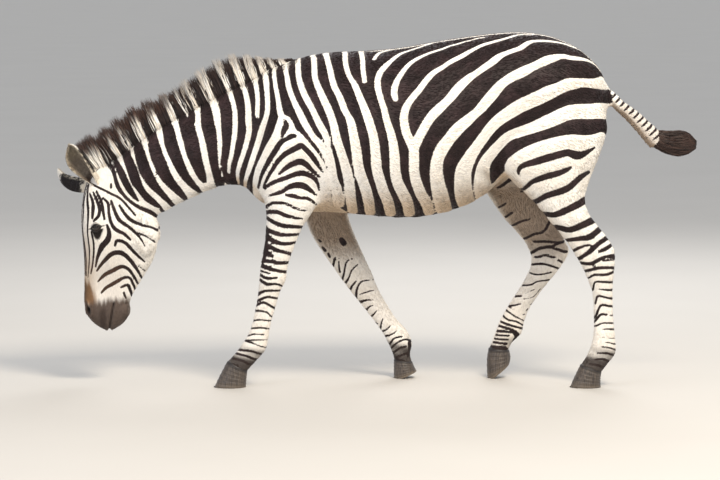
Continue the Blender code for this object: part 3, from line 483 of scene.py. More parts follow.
def tube(rings):
    """(points, faces) of a closed tube through rings, with its faces outwards."""
    points = np.concatenate([rings.reshape(-1, 3), [rings[0].mean(axis=0)], [rings[-1].mean(axis=0)]])
    return points, facing_out(points, tube_faces(*rings.shape[:2]))


def ball(middle, half_size, turn, sides=24):
    """(points, faces) of a ball stretched to half_size and turned by turn degrees about Y."""
    a = np.linspace(-np.pi / 2, np.pi / 2, sides // 2 + 1)[1:-1, None]
    b = np.arange(sides)[None, :] * 2 * np.pi / sides
    p = np.stack([np.cos(a) * np.cos(b), np.cos(a) * np.sin(b), np.sin(a) + 0 * b], axis=2) * half_size
    c, s = math.cos(math.radians(turn)), math.sin(math.radians(turn))
    p = np.stack([p[..., 0] * c + p[..., 2] * s, p[..., 1], -p[..., 0] * s + p[..., 2] * c], axis=2)
    return tube(p + middle)


def together(parts):
    """One (points, faces) out of several."""
    starts = np.cumsum([0] + [len(p) for p, _ in parts[:-1]])
    return np.concatenate([p for p, _ in parts]), np.concatenate([f + s for (_, f), s in zip(parts, starts)])


TUBES = {
    "trunk": (TRUNK, 0),
    "neck": (NECK, 0),
    "head": (HEAD, 0),
    "dock": (TAIL_DOCK, 0),
    "foreleg_left": (FORELEG_PLANTED, -1),
    "foreleg_right": (FORELEG_TRAILING, 1),
    "hindleg_left": (HINDLEG_PLANTED, -1),
    "hindleg_right": (HINDLEG_LIFTING, 1),
}
print("tubes:", ", ".join(TUBES))

# %% [markdown]
# ## One skin
# The tubes and the lumps of muscle overlap, so they are drawn together by a voxel remesh: space is
# filled with cells, and one closed surface is wrapped round those inside. The cells here are 9.6 mm.
# The head, the cannons and the tail get cells of half that size, because their stripes are narrow, and
# the eyes and nostrils get cells of a quarter.

# %% Fuse the tubes
SKIN_CELL = 0.0096
STATION_STEPS = 5  # rings drawn from one row of a table to the next
parts = []
for rows, side in TUBES.values():
    parts.append(tube(section_rings(smooth_rows(rows, STATION_STEPS), side or 1, -COAT_DEPTH)))
for (x, y, z), half_size, turn in LUMPS:
    inset = np.array(half_size) - COAT_DEPTH
    parts += [ball((x, side * y, z), inset, turn) for side in (-1, 1)]
skin = mesh_piece("zebra_skin", *together(parts))
remesh = skin.modifiers.new("fuse", "REMESH")
remesh.mode = "VOXEL"
remesh.voxel_size = SKIN_CELL
baked(skin)
print("skin cells:", len(skin.data.polygons))


# %% Smaller cells where the detail is fine
def refine(obj, chosen):
    """Cuts every chosen face in four."""
    bm = bmesh.new()
    bm.from_mesh(obj.data)
    bm.faces.ensure_lookup_table()
    edges = list({edge for i in np.flatnonzero(chosen) for edge in bm.faces[i].edges})
    bmesh.ops.subdivide_edges(bm, edges=edges, cuts=1, use_grid_fill=True)
    bmesh.ops.triangulate(bm, faces=[f for f in bm.faces if len(f.verts) > 4])
    bm.to_mesh(obj.data)
    bm.free()
    obj.data.update()


def face_middles(obj):
    """The middle of each face of the mesh."""
    found = np.empty(len(obj.data.polygons) * 3, np.float32)
    obj.data.polygons.foreach_get("center", found)
    return found.reshape(-1, 3)


def evened(obj, factors, rounds, hold=True):
    """Moves each point half way to the mean of its neighbours, and with hold every second round pushes
    it back by a little more, so the surface gets smooth without getting smaller."""
    points = points_of(obj)
    edges = np.empty(len(obj.data.edges) * 2, np.int32)
    obj.data.edges.foreach_get("vertices", edges)
    a, b = edges.reshape(-1, 2).T
    count = np.bincount(np.concatenate([a, b]), minlength=len(points))[:, None]
    for i in range(rounds):
        total = np.stack(
            [
                np.bincount(a, points[b, k], len(points)) + np.bincount(b, points[a, k], len(points))
                for k in range(3)
            ],
            axis=1,
        )
        step = total / count - points
        points += step * factors * (-0.53 if hold and i % 2 else 0.5)
    move_points(obj, points)


EVEN_ROUNDS, FOLD_ROUNDS, SECOND_ROUNDS, LAST_ROUNDS = 14, 34, 8, 4
EYE_REACH, NOSTRIL_REACH = 0.042, 0.034  # how far the smallest cells go round an eye and a nostril
middles = face_middles(skin)
head = (middles[:, 0] < -0.80) & (middles[:, 2] < 0.82)
refine(skin, head | (middles[:, 2] < 0.43) | (middles[:, 0] > 0.86))  # head, lower legs and tail
evened(skin, 1.0, EVEN_ROUNDS)
points = points_of(skin)
fold = np.zeros(len(points))
for middle, reach in SOFT_FOLDS:
    away = np.linalg.norm((points - middle)[:, [0, 2]], axis=1)
    fold = np.maximum(fold, np.clip(1.4 - 1.4 * away / reach, 0, 1))
evened(skin, fold[:, None], FOLD_ROUNDS, hold=False)
evened(skin, 1.0, SECOND_ROUNDS)
middles = face_middles(skin)
small = np.zeros(len(middles), bool)
for (x, y, z), reach in ((EYE_PLACE, EYE_REACH), (NOSTRIL_PLACE, NOSTRIL_REACH)):
    small |= np.linalg.norm(np.abs(middles) - np.abs([x, y, z]), axis=1) < reach
refine(skin, small)
evened(skin, 1.0, LAST_ROUNDS)
print("skin points:", len(skin.data.vertices), "faces:", len(skin.data.polygons))

# %% [markdown]
# ## Rolling the skin out flat
# Stripes have to be drawn on something flat. Seen from the side, the back, the crest and the front of the
# face turn away, and a pattern laid on from the side would smear there. So each point of the skin
# is rolled out: its x and z are pushed outwards, along the upper direction of its section, by 0.8 of
# how far it lies inside the widest line. On the flank nothing changes, and the spine moves out.

# %% The rolled-out chart
ROLL = 0.8
ROLL_BLEND = 0.030  # width of the bell curve that blends neighbouring sections
CHART_BATCH = 20000  # points worked out at a time, to save memory
roll_rows = np.vstack([np.array(TRUNK)[2:-2], np.array(NECK)[2:-1], np.array(HEAD)[1:, :7]])
roll_middle, roll_along, _, _ = frames_along(roll_rows)
roll_low, roll_high = roll_rows[:, 2:4], roll_rows[:, 0:2]


def rolled_out(points):
    """Chart place of each point: (x, z) + n * 0.8 * (w - |y|), where n is the upper direction and w the half
    width of the nearest sections, blended by a bell curve of the distance, and only above the widest line."""
    out = np.empty((len(points), 2))
    for start in range(0, len(points), CHART_BATCH):
        p = points[start : start + CHART_BATCH]
        _, step = off_segments(p[:, [0, 2]], roll_low, roll_high - roll_low)
        away = (step**2).sum(-1)
        weight = np.exp(-(away - away.min(axis=1, keepdims=True)) / (2 * ROLL_BLEND**2))
        weight /= weight.sum(axis=1, keepdims=True)
        normal = unit(weight @ roll_along)
        middle, width = weight @ roll_middle, weight @ roll_rows[:, 4]
        height = ((p[:, [0, 2]] - middle) * normal).sum(-1)
        inward = np.maximum(width - np.abs(p[:, 1]), 0) * ease(-0.01, 0.05, height)
        out[start : start + CHART_BATCH] = p[:, [0, 2]] + normal * (ROLL * inward)[:, None]
    return out


print("sections in the chart:", len(roll_rows))

# %% [markdown]
# ## Stripes as drawn lines
# A zebra's stripes aren't noise: each one has its place, from the shadow of a rib to the rings of the
# shin. So they are drawn as a sign painter would, as brush lines on the rolled-out chart: x, z and the
# brush's half width, all in millimetres. Neck, shoulder, thigh and legs are light ground with
# dark lines, and the trunk is dark ground with light lines, so three closed outlines part the two.

# %% The brush lines
TRUNK_LIGHT = [
    [(-655, 1320, 10.8), (-610, 1187, 10.8), (-594, 1136, 10.8), (-572, 1074, 10.1), (-562, 1011, 9.7),
        (-562, 940, 9.7), (-559, 883, 9), (-561, 842, 8.6), (-563, 803, 7.9), (-556, 755, 6.5)],
    [(-605, 1294, 11.5), (-547, 1167, 11.5), (-518, 1139, 10.1), (-507, 1079, 9), (-500, 1021, 8.6),
        (-500, 968, 9), (-504, 915, 9), (-511, 871, 8.3), (-517, 834, 7.6), (-526, 798, 6.5),
        (-528, 766, 5)],
    [(-527, 1322, 10.8), (-484, 1189, 10.8), (-463, 1149, 9.4), (-455, 1096, 8.6), (-452, 1032, 9.4),
        (-454, 966, 10.1), (-454, 915, 9.7), (-463, 875, 9), (-475, 835, 8.3), (-489, 795, 7.9),
        (-496, 761, 6.5), (-493, 723, 4.3)],
    [(-421, 1338, 9.4), (-419, 1198, 9.4), (-417, 1120, 7.6), (-417, 1062, 7.6), (-421, 1002, 7.6),
        (-423, 985, 6.5)],
    [(-398, 1388, 7.9), (-391, 1248, 7.9), (-385, 1200, 7.6), (-385, 1140, 7.6), (-384, 1080, 7.9),
        (-386, 1027, 8.6), (-396, 984, 10.1), (-408, 941, 10.4), (-422, 877, 10.1), (-438, 828, 9.7),
        (-450, 792, 9), (-464, 751, 7.2), (-473, 705, 5.4), (-469, 669, 4)],
    [(-369, 1431, 7.2), (-362, 1291, 7.2), (-359, 1203, 6.8), (-354, 1133, 7.2), (-348, 1078, 7.6),
        (-343, 1018, 9.4), (-337, 976, 10.8), (-349, 927, 12.2), (-361, 895, 13.7), (-381, 863, 13),
        (-397, 830, 11.9), (-414, 798, 10.8), (-426, 765, 9.4), (-435, 722, 7.2), (-437, 669, 4.3)],
    [(-322, 1458, 8.6), (-319, 1318, 8.6), (-323, 1280, 7.9), (-316, 1197, 7.9), (-309, 1128, 9.4),
        (-293, 1065, 10.1), (-273, 1010, 11.5), (-253, 958, 12.2), (-229, 916, 12.6), (-202, 882, 13),
        (-182, 846, 10.8), (-171, 807, 9)],
    [(-285, 1489, 9.4), (-281, 1349, 9.4), (-278, 1271, 9), (-276, 1197, 9.4), (-264, 1125, 10.8),
        (-245, 1064, 11.5), (-221, 1009, 12.2), (-202, 966, 11.9), (-182, 923, 11.2), (-170, 883, 10.1)],
    [(-242, 1507, 10.1), (-231, 1367, 10.1), (-223, 1316, 9.7), (-220, 1234, 9.7), (-218, 1186, 10.4),
        (-206, 1134, 11.9), (-186, 1070, 12.6), (-166, 1010, 13), (-150, 949, 13), (-141, 902, 14.4),
        (-125, 851, 15.1), (-111, 805, 16.2), (-98, 751, 18), (-90, 673, 18.7), (-84, 630, 18)],
    [(-169, 865, 8.6), (-160, 818, 12.2), (-157, 782, 15.5), (-153, 750, 16.9), (-141, 713, 18.7),
        (-133, 662, 19.4)],
    [(-546, 727, 3.6), (-534, 707, 7.9), (-505, 695, 12.2), (-462, 673, 15.8), (-426, 640, 18)],
    [(-201, 1526, 10.8), (-184, 1387, 10.8), (-175, 1308, 9.7), (-165, 1232, 10.1), (-151, 1139, 10.8),
        (-129, 1073, 11.5), (-112, 1017, 13.7), (-93, 980, 14.8), (-82, 927, 15.8), (-71, 859, 17.3),
        (-65, 809, 17.6), (-54, 765, 18.4), (-39, 721, 19.1), (-28, 675, 19.4), (-22, 627, 19.4)],
    [(-124, 1518, 9.4), (-113, 1378, 9.4), (-110, 1279, 9.4), (-99, 1206, 10.1), (-77, 1151, 10.8),
        (-60, 1091, 11.9), (-39, 1018, 14), (-26, 970, 14.8), (-13, 919, 15.1), (-6, 875, 16.6),
        (-2, 831, 17.6), (2, 789, 18), (13, 749, 18.4), (26, 708, 19.1), (41, 670, 19.8),
        (51, 625, 19.8)],
    [(-60, 1518, 8.6), (-54, 1378, 8.6), (-49, 1309, 8.3), (-47, 1231, 8.6), (-41, 1163, 7.9)],
    [(-8, 1305, 6.8), (3, 1345, 6.5), (18, 1377, 5.4), (54, 1411, 3.2)],
    [(204, 1440, 4), (165, 1410, 5), (118, 1378, 6.1), (87, 1354, 7.2), (52, 1300, 9), (22, 1238, 10.1),
        (7, 1188, 10.4), (4, 1141, 10.8), (13, 1085, 11.2), (26, 1031, 11.9), (36, 982, 12.6),
        (51, 926, 14), (60, 877, 15.8), (64, 832, 17.6), (66, 789, 18), (73, 749, 19.1), (91, 709, 20.2),
        (109, 670, 20.5), (118, 625, 20.5)],
    [(390, 1406, 3.6), (354, 1406, 4.3), (316, 1394, 4.7), (290, 1378, 5), (246, 1362, 6.1),
        (203, 1344, 6.8), (164, 1318, 7.9), (130, 1286, 8.6), (104, 1244, 9.4), (82, 1195, 10.4),
        (67, 1149, 11.5), (63, 1105, 11.5), (68, 1074, 8.6)],
    [(580, 1413, 2.9), (530, 1408, 3.6), (490, 1381, 6.5), (445, 1366, 7.6), (408, 1349, 7.9),
        (372, 1331, 9.7), (332, 1310, 11.2), (296, 1277, 11.9), (245, 1240, 11.9), (207, 1210, 11.9),
        (180, 1172, 12.2), (150, 1116, 12.6), (116, 1061, 13), (100, 1018, 14.4), (97, 979, 14.4),
        (104, 932, 14.8), (118, 895, 15.8), (131, 864, 17.3), (132, 825, 17.6), (133, 782, 17.6),
        (142, 742, 18.4), (158, 701, 19.1), (177, 666, 19.8), (189, 628, 19.8)],
    [(728, 1334, 4.3), (709, 1333, 6.5), (675, 1352, 6.8), (637, 1348, 7.6), (599, 1342, 8.6),
        (559, 1336, 9.7), (518, 1287, 10.8), (480, 1267, 12.2), (441, 1251, 14.4), (404, 1208, 15.1),
        (368, 1178, 16.2), (331, 1158, 16.9), (295, 1116, 18), (260, 1066, 18.7), (224, 1029, 18.7),
        (192, 989, 17.6), (168, 946, 16.6), (150, 908, 16.6), (136, 875, 16.6)],
    [(811, 1228, 3.6), (796, 1244, 6.5), (771, 1241, 10.1), (734, 1238, 11.9), (696, 1229, 12.6),
        (661, 1238, 14.8), (622, 1218, 18.4), (584, 1190, 18.7), (546, 1170, 20.2), (509, 1146, 20.2),
        (473, 1123, 18.7), (437, 1095, 18.4), (401, 1050, 19.4), (366, 1008, 20.2), (330, 980, 20.9),
        (289, 937, 21.6), (257, 901, 22), (228, 858, 22.7), (213, 817, 21.6), (212, 769, 23.4),
        (220, 723, 26.3), (232, 676, 28.8), (244, 629, 28.8)],
    [(843, 1199, 20.2), (802, 1126, 20.2), (761, 1099, 19.1), (724, 1101, 20.2), (686, 1092, 23),
        (650, 1079, 23), (614, 1062, 24.5), (579, 1044, 23.8), (507, 1012, 23), (437, 967, 20.2),
        (404, 936, 18.7), (378, 901, 18.4), (352, 865, 19.4), (327, 826, 23.8), (308, 783, 28.8),
        (307, 735, 30.6), (313, 688, 32.4), (332, 633, 32.4)],
    [(836, 985, 24.5), (795, 992, 25.6), (758, 991, 25.2), (686, 989, 23.8), (615, 960, 22.3),
        (544, 932, 18), (473, 907, 16.2), (438, 877, 16.9), (405, 839, 18.7), (382, 803, 21.6),
        (376, 758, 27), (382, 707, 32.4), (397, 662, 32.4)],
    [(798, 896, 20.2), (765, 885, 23), (732, 883, 24.1), (688, 885, 24.8), (644, 880, 23),
        (600, 870, 21.6), (557, 856, 20.5), (514, 835, 19.8), (481, 810, 18), (473, 787, 15.1),
        (489, 762, 12.2), (507, 740, 10.8)],
]

SHOULDER_DARK = [
    [(-323, 962, 6.5), (-319, 945, 9.4), (-327, 926, 8.6), (-336, 900, 3.6)],
    [(-282, 905, 3.6), (-297, 910, 9.4), (-316, 894, 5.8), (-337, 884, 7.9), (-357, 855, 9),
        (-377, 823, 8.3), (-397, 787, 6.8), (-410, 757, 5), (-421, 716, 3.2)],
    [(-190, 777, 2.5), (-213, 813, 7.6), (-229, 837, 8.6), (-253, 862, 8.3), (-267, 874, 7.2),
        (-277, 867, 9), (-297, 856, 9), (-325, 840, 8.3), (-349, 816, 7.6), (-365, 791, 6.1),
        (-382, 763, 5), (-402, 721, 2.9)],
    [(-345, 770, 2.9), (-325, 788, 7.2), (-301, 804, 9), (-270, 815, 10.1), (-249, 805, 9.4),
        (-226, 782, 6.1), (-200, 758, 2.9)],
    [(-398, 714, 2.9), (-373, 735, 5.8), (-349, 746, 6.5), (-317, 758, 7.2), (-285, 770, 8.3),
        (-258, 773, 9), (-230, 761, 7.2), (-210, 739, 5.4), (-202, 711, 2.9)],
    [(-382, 691, 2.9), (-349, 702, 5.8), (-333, 708, 5.8), (-310, 724, 7.9), (-282, 731, 10.1),
        (-258, 727, 10.1), (-234, 711, 6.8), (-214, 692, 2.9)],
    [(-321, 694, 3.6), (-294, 692, 6.8), (-270, 684, 5), (-246, 683, 5), (-226, 670, 4), (-214, 658, 2.2)],
]

NECK_DARK = [
    [(-1055, 1068, 8.6), (-1036, 929, 8.6), (-1024, 887, 6.5), (-1026, 848, 3.6), (-1009, 844, 4),
        (-965, 803, 5), (-940, 749, 6.1), (-924, 711, 6.8), (-900, 679, 5), (-872, 655, 5.4),
        (-849, 640, 6.5), (-813, 623, 8.3), (-790, 604, 5)],
    [(-1091, 1068, 6.5), (-1029, 943, 6.5), (-1015, 920, 6.8), (-1000, 882, 8.3), (-980, 861, 10.4),
        (-937, 801, 11.9), (-910, 752, 12.6), (-893, 720, 11.2), (-876, 692, 9.7), (-854, 664, 3.6)],
    [(-1045, 1096, 8.6), (-981, 971, 8.6), (-970, 955, 8.6), (-952, 915, 10.4), (-921, 873, 15.1),
        (-894, 815, 17.6), (-873, 767, 18.4), (-859, 732, 17.3), (-843, 704, 13), (-824, 678, 14.4),
        (-797, 655, 11.5), (-777, 640, 5.4)],
    [(-966, 1159, 10.8), (-922, 1026, 10.8), (-915, 1007, 11.2), (-901, 962, 13.7), (-878, 914, 18.7),
        (-857, 859, 21.2), (-839, 804, 22), (-823, 765, 21.6), (-805, 732, 18.7), (-779, 700, 13.7),
        (-753, 671, 10.4), (-736, 649, 7.9), (-722, 622, 5)],
    [(-945, 1140, 10.1), (-863, 1026, 10.1), (-846, 1001, 13), (-826, 974, 18.7), (-807, 905, 22.3),
        (-792, 849, 24.5), (-774, 800, 24.1), (-756, 758, 22), (-732, 724, 17.6), (-709, 698, 14.4),
        (-692, 676, 10.1), (-682, 658, 5)],
    [(-849, 1199, 10.1), (-793, 1071, 10.1), (-775, 1039, 16.6), (-757, 989, 20.2), (-745, 939, 22.7),
        (-738, 896, 24.1), (-724, 848, 23), (-708, 802, 20.5), (-688, 761, 17.3), (-665, 729, 13.7),
        (-642, 704, 9.4), (-628, 686, 4.7)],
    [(-796, 1282, 9.4), (-748, 1151, 9.4), (-739, 1122, 10.8), (-722, 1081, 14), (-710, 1041, 17.3),
        (-691, 992, 21.6), (-677, 958, 28.8), (-671, 928, 28.4), (-662, 891, 28.1), (-654, 843, 26.6),
        (-641, 801, 22.3), (-627, 761, 17.6), (-619, 740, 11.2), (-614, 732, 6.8)],
    [(-748, 1288, 7.9), (-695, 1158, 7.9), (-684, 1133, 8.6), (-673, 1105, 10.1), (-659, 1073, 10.8),
        (-658, 1022, 13), (-663, 980, 18)],
    [(-706, 1301, 10.1), (-651, 1173, 10.1), (-638, 1144, 11.9), (-622, 1106, 11.5), (-610, 1073, 18),
        (-603, 1007, 23.4), (-599, 954, 25.2), (-594, 929, 25.2), (-589, 886, 21.6), (-585, 842, 18.7),
        (-580, 801, 16.2), (-573, 761, 14.4), (-563, 714, 14.4)],
]

HEAD_DARK = [
    [(-1078, 728, 2.9), (-1091, 707, 4.3), (-1079, 662, 5.4), (-1077, 613, 5), (-1085, 575, 4.7),
        (-1080, 526, 4), (-1082, 478, 3.2), (-1105, 428, 2.9), (-1106, 388, 1.8)],
    [(-1056, 733, 3.2), (-1056, 706, 5.4), (-1052, 672, 6.1), (-1041, 630, 5.8), (-1041, 591, 4),
        (-1044, 555, 3.6), (-1043, 496, 3.6), (-1049, 447, 2.9), (-1058, 388, 1.8)],
    [(-1035, 786, 2.2), (-1031, 821, 2.5), (-1011, 829, 2.9), (-969, 793, 2.9), (-951, 763, 2.2)],
    [(-980, 676, 2.9), (-961, 657, 4), (-957, 620, 4.3), (-949, 587, 4.7), (-933, 563, 5.8),
        (-905, 548, 5), (-882, 526, 3.2)],
    [(-950, 666, 2.9), (-933, 620, 5.4), (-919, 596, 5.8), (-887, 572, 4.7), (-868, 555, 4.7),
        (-845, 529, 3.6), (-829, 500, 2.5)],
    [(-864, 552, 3.2), (-831, 540, 3.6), (-794, 515, 3.2)],
    [(-920, 649, 3.2), (-901, 619, 4.7), (-877, 595, 5.4), (-840, 578, 5.4), (-812, 571, 4.3),
        (-783, 557, 4)],
    [(-1038, 731, 2.9), (-976, 704, 3.2), (-957, 694, 3.6), (-920, 675, 3.2), (-892, 646, 3.2),
        (-864, 613, 2.9)],
    [(-777, 639, 5.4), (-768, 620, 5.8), (-758, 606, 3.6)],
    [(-1041, 695, 3.2), (-1023, 666, 5.4), (-1019, 639, 6.8), (-1019, 606, 4.7)],
    [(-1023, 699, 3.2), (-1004, 669, 4.7), (-993, 638, 5), (-994, 614, 5), (-1013, 594, 3.6)],
    [(-1007, 700, 3.2), (-989, 672, 4.3), (-980, 638, 4.7), (-973, 601, 2.9)],
    [(-964, 580, 3.2), (-957, 554, 6.5), (-962, 527, 9.4), (-984, 501, 9.4), (-1001, 466, 5.4),
        (-1015, 428, 3.2)],
    [(-1023, 555, 2.9), (-1016, 510, 3.6), (-1025, 452, 3.6), (-1040, 403, 3.2)],
    [(-1011, 411, 2.9), (-978, 447, 5.8), (-949, 474, 7.2), (-916, 478, 7.6), (-889, 456, 6.5),
        (-862, 416, 5), (-845, 379, 3.2)],
    [(-1006, 372, 2.5), (-975, 398, 6.1), (-946, 413, 6.8), (-915, 427, 5.8), (-890, 415, 5),
        (-872, 387, 4.3), (-860, 361, 2.9)],
    [(-991, 331, 2.9), (-971, 350, 5), (-938, 369, 5.8), (-909, 385, 4.3), (-888, 384, 3.6),
        (-877, 363, 3.6), (-870, 341, 2.9)],
    [(-919, 350, 2.9), (-896, 358, 4.3), (-887, 339, 4.3), (-882, 317, 2.9)],
    [(-910, 330, 3.2), (-903, 310, 2.5)],
    [(-937, 505, 3.2), (-929, 523, 4.7), (-901, 515, 5), (-878, 490, 5.4), (-851, 460, 4.7),
        (-834, 442, 2.9)],
    [(-854, 427, 2.2), (-834, 407, 2.5)],
    [(-953, 727, 2.5), (-951, 713, 3.6)],
]

LEFT_FORELEG_DARK = [
    [(-417, 645, 1.3), (-395, 649, 4.9), (-366, 666, 5.8), (-320, 664, 5.8), (-286, 647, 5),
        (-246, 636, 2.9)],
    [(-414, 630, 1.7), (-392, 631, 6.1), (-354, 634, 7.2), (-320, 621, 6.5), (-286, 613, 5),
        (-260, 608, 2.5)],
    [(-416, 618, 2.2), (-395, 614, 5.5), (-372, 600, 6.5), (-337, 586, 7.2), (-303, 582, 6.5),
        (-269, 578, 5.5), (-247, 578, 1.9)],
    [(-421, 576, 2.6), (-400, 573, 6.4), (-372, 562, 7.6), (-338, 552, 6.8), (-303, 551, 5.4),
        (-281, 551, 4.6), (-259, 551, 1.7)],
    [(-417, 561, 2.6), (-396, 553, 7), (-378, 536, 8.3), (-344, 521, 6.5), (-315, 519, 5.4),
        (-287, 522, 4.6), (-265, 522, 1.7)],
    [(-425, 518, 2.6), (-403, 515, 6.4), (-378, 507, 7.6), (-349, 494, 6.5), (-321, 487, 5.8),
        (-295, 475, 4.9), (-274, 471, 1.7)],
    [(-426, 493, 3.5), (-404, 491, 7.6), (-384, 483, 9), (-367, 471, 4.7)],
    [(-390, 581, 1.8), (-392, 545, 5), (-396, 488, 6.1), (-405, 445, 2.9)],
    [(-432, 459, 3.9), (-410, 458, 6.5), (-378, 455, 6.1), (-344, 450, 6.1), (-310, 450, 5.2),
        (-288, 450, 1.7)],
    [(-435, 442, 2.6), (-413, 439, 5.8), (-390, 432, 6.8), (-361, 424, 5.8), (-319, 415, 4.9),
        (-297, 413, 1.9)],
    [(-415, 420, 3.6), (-378, 412, 2.9)],
    [(-437, 409, 2.2), (-415, 406, 4.9), (-390, 395, 5.8), (-353, 397, 3.2)],
    [(-437, 393, 2.2), (-416, 388, 5.2), (-390, 374, 6.1), (-356, 374, 4.3), (-328, 361, 3.7),
        (-306, 357, 1.5)],
    [(-450, 328, 3.9), (-428, 332, 6.5), (-396, 349, 5), (-345, 349, 4.3), (-323, 349, 1.3)],
    [(-453, 305, 3), (-431, 308, 5), (-390, 327, 5), (-356, 321, 4.3), (-334, 320, 1.7)],
    [(-456, 289, 2.2), (-434, 292, 4.3), (-402, 307, 5), (-365, 286, 4.3), (-343, 282, 1.7)],
    [(-459, 275, 2.4), (-437, 275, 4), (-413, 276, 4.3), (-390, 270, 3.6), (-374, 254, 3.1),
        (-353, 247, 1.5)],
    [(-467, 237, 1.9), (-445, 238, 3.2), (-419, 244, 3.6), (-385, 241, 3.1), (-363, 240, 1.1)],
    [(-474, 211, 1.9), (-452, 212, 3.4), (-413, 216, 3.6), (-385, 211, 3.1), (-363, 210, 1.3)],
    [(-482, 182, 1.7), (-460, 185, 2.9), (-436, 193, 2.9), (-402, 192, 2.5)],
    [(-489, 170, 1.7), (-467, 170, 2.9), (-425, 173, 2.9), (-391, 171, 2.4), (-369, 170, 1.3)],
    [(-493, 172, 2.2), (-471, 169, 3.6), (-436, 159, 3.2), (-402, 146, 2.8), (-380, 143, 1.5)],
    [(-512, 136, 2.6), (-490, 135, 4.3), (-448, 133, 4.7), (-410, 120, 4.3), (-389, 117, 2.6)],
    [(-524, 124, 2.4), (-502, 122, 4), (-465, 115, 4.7), (-432, 101, 5), (-410, 97, 3)],
    [(-537, 108, 2.4), (-515, 106, 4), (-476, 97, 4.7), (-458, 86, 4.3), (-437, 81, 2.6)],
    [(-531, 89, 4.3), (-494, 80, 4.7)],
]

LEFT_HINDLEG_DARK = [
    [(510, 762, 4.3), (504, 782, 8.3), (519, 801, 10.8), (558, 813, 13.7), (601, 827, 14.8),
        (645, 840, 14.4), (679, 847, 14.4), (710, 837, 16.6), (737, 843, 12.2), (782, 866, 3.6)],
    [(505, 709, 2.2), (526, 716, 8), (550, 740, 9.4), (576, 753, 11.9), (610, 765, 12.6),
        (645, 774, 12.2), (671, 785, 10.1), (690, 795, 6.1)],
    [(544, 665, 4.3), (566, 669, 9.5), (602, 692, 11.2), (646, 707, 13), (681, 721, 13.3),
        (707, 743, 12.6), (730, 762, 11.5), (756, 775, 7.9)],
    [(580, 625, 3.9), (602, 625, 7.6), (631, 623, 9), (665, 636, 11.2), (700, 653, 12.2),
        (746, 674, 13.3), (768, 678, 8)],
    [(625, 579, 3), (647, 577, 8), (690, 569, 9.4), (728, 585, 10.4), (784, 606, 11.2), (806, 609, 6.7)],
    [(638, 524, 2.2), (660, 525, 4.6), (686, 531, 5.4), (729, 538, 7.2), (761, 544, 9.7), (799, 571, 8.3),
        (820, 577, 5)],
    [(675, 481, 1.7), (696, 486, 3.7), (719, 501, 4.3), (740, 510, 3.6), (762, 516, 2.2)],
    [(697, 456, 1.7), (718, 461, 4.6), (740, 475, 5.4), (767, 496, 7.6), (789, 517, 6.8), (820, 536, 7.2),
        (842, 541, 4.3)],
    [(794, 490, 4), (817, 500, 5.8), (839, 511, 4.9), (860, 515, 2.4)],
    [(709, 448, 1.7), (731, 448, 4.6), (768, 448, 5.4), (794, 462, 5.8), (829, 474, 4), (866, 475, 5.4),
        (888, 475, 3.2)],
    [(809, 459, 3.2), (855, 462, 3.6)],
    [(723, 417, 2.2), (745, 419, 4.3), (773, 427, 5), (806, 433, 4.7), (866, 430, 4), (888, 429, 2.2)],
    [(740, 390, 1.7), (761, 395, 3.7), (779, 407, 4.3), (824, 408, 4.7), (853, 418, 4), (875, 421, 1.9)],
    [(763, 334, 2.2), (775, 352, 3.6), (781, 379, 3.6), (802, 382, 4.3), (830, 380, 4.7), (864, 377, 4),
        (886, 377, 1.9)],
    [(797, 355, 2.9), (836, 351, 4.7), (867, 352, 4), (889, 352, 2.2)],
    [(784, 301, 3.6), (792, 329, 4.3), (813, 327, 4.3), (842, 320, 4.3), (867, 321, 3.7), (889, 322, 2.2)],
    [(767, 241, 2.6), (785, 255, 4.3), (803, 296, 4.3), (831, 294, 4.7), (867, 288, 4), (889, 287, 1.7)],
    [(762, 227, 1.7), (782, 236, 3.7), (803, 263, 4.3), (825, 263, 4.3)],
    [(834, 261, 2.9), (869, 254, 3.2)],
    [(763, 218, 1.7), (785, 221, 3.1), (814, 233, 3.6), (870, 229, 3.1), (892, 228, 1.7)],
    [(809, 211, 1.8), (836, 211, 3.6), (873, 206, 3.1), (895, 206, 1.7)],
    [(809, 182, 1.8), (874, 174, 2.5)],
    [(811, 166, 2.2), (840, 161, 2.9), (877, 150, 2.9), (899, 147, 1.7)],
    [(807, 148, 2.9), (836, 144, 3.6), (877, 128, 3.6), (899, 125, 2.2)],
    [(793, 126, 3.6), (829, 124, 4.3), (878, 106, 5.8), (899, 103, 3.5)],
    [(783, 102, 3.6), (819, 102, 4.7), (863, 76, 6.5), (885, 72, 3.9)],
    [(765, 86, 4), (801, 79, 4.7), (845, 55, 4.7), (867, 50, 2.8)],
]

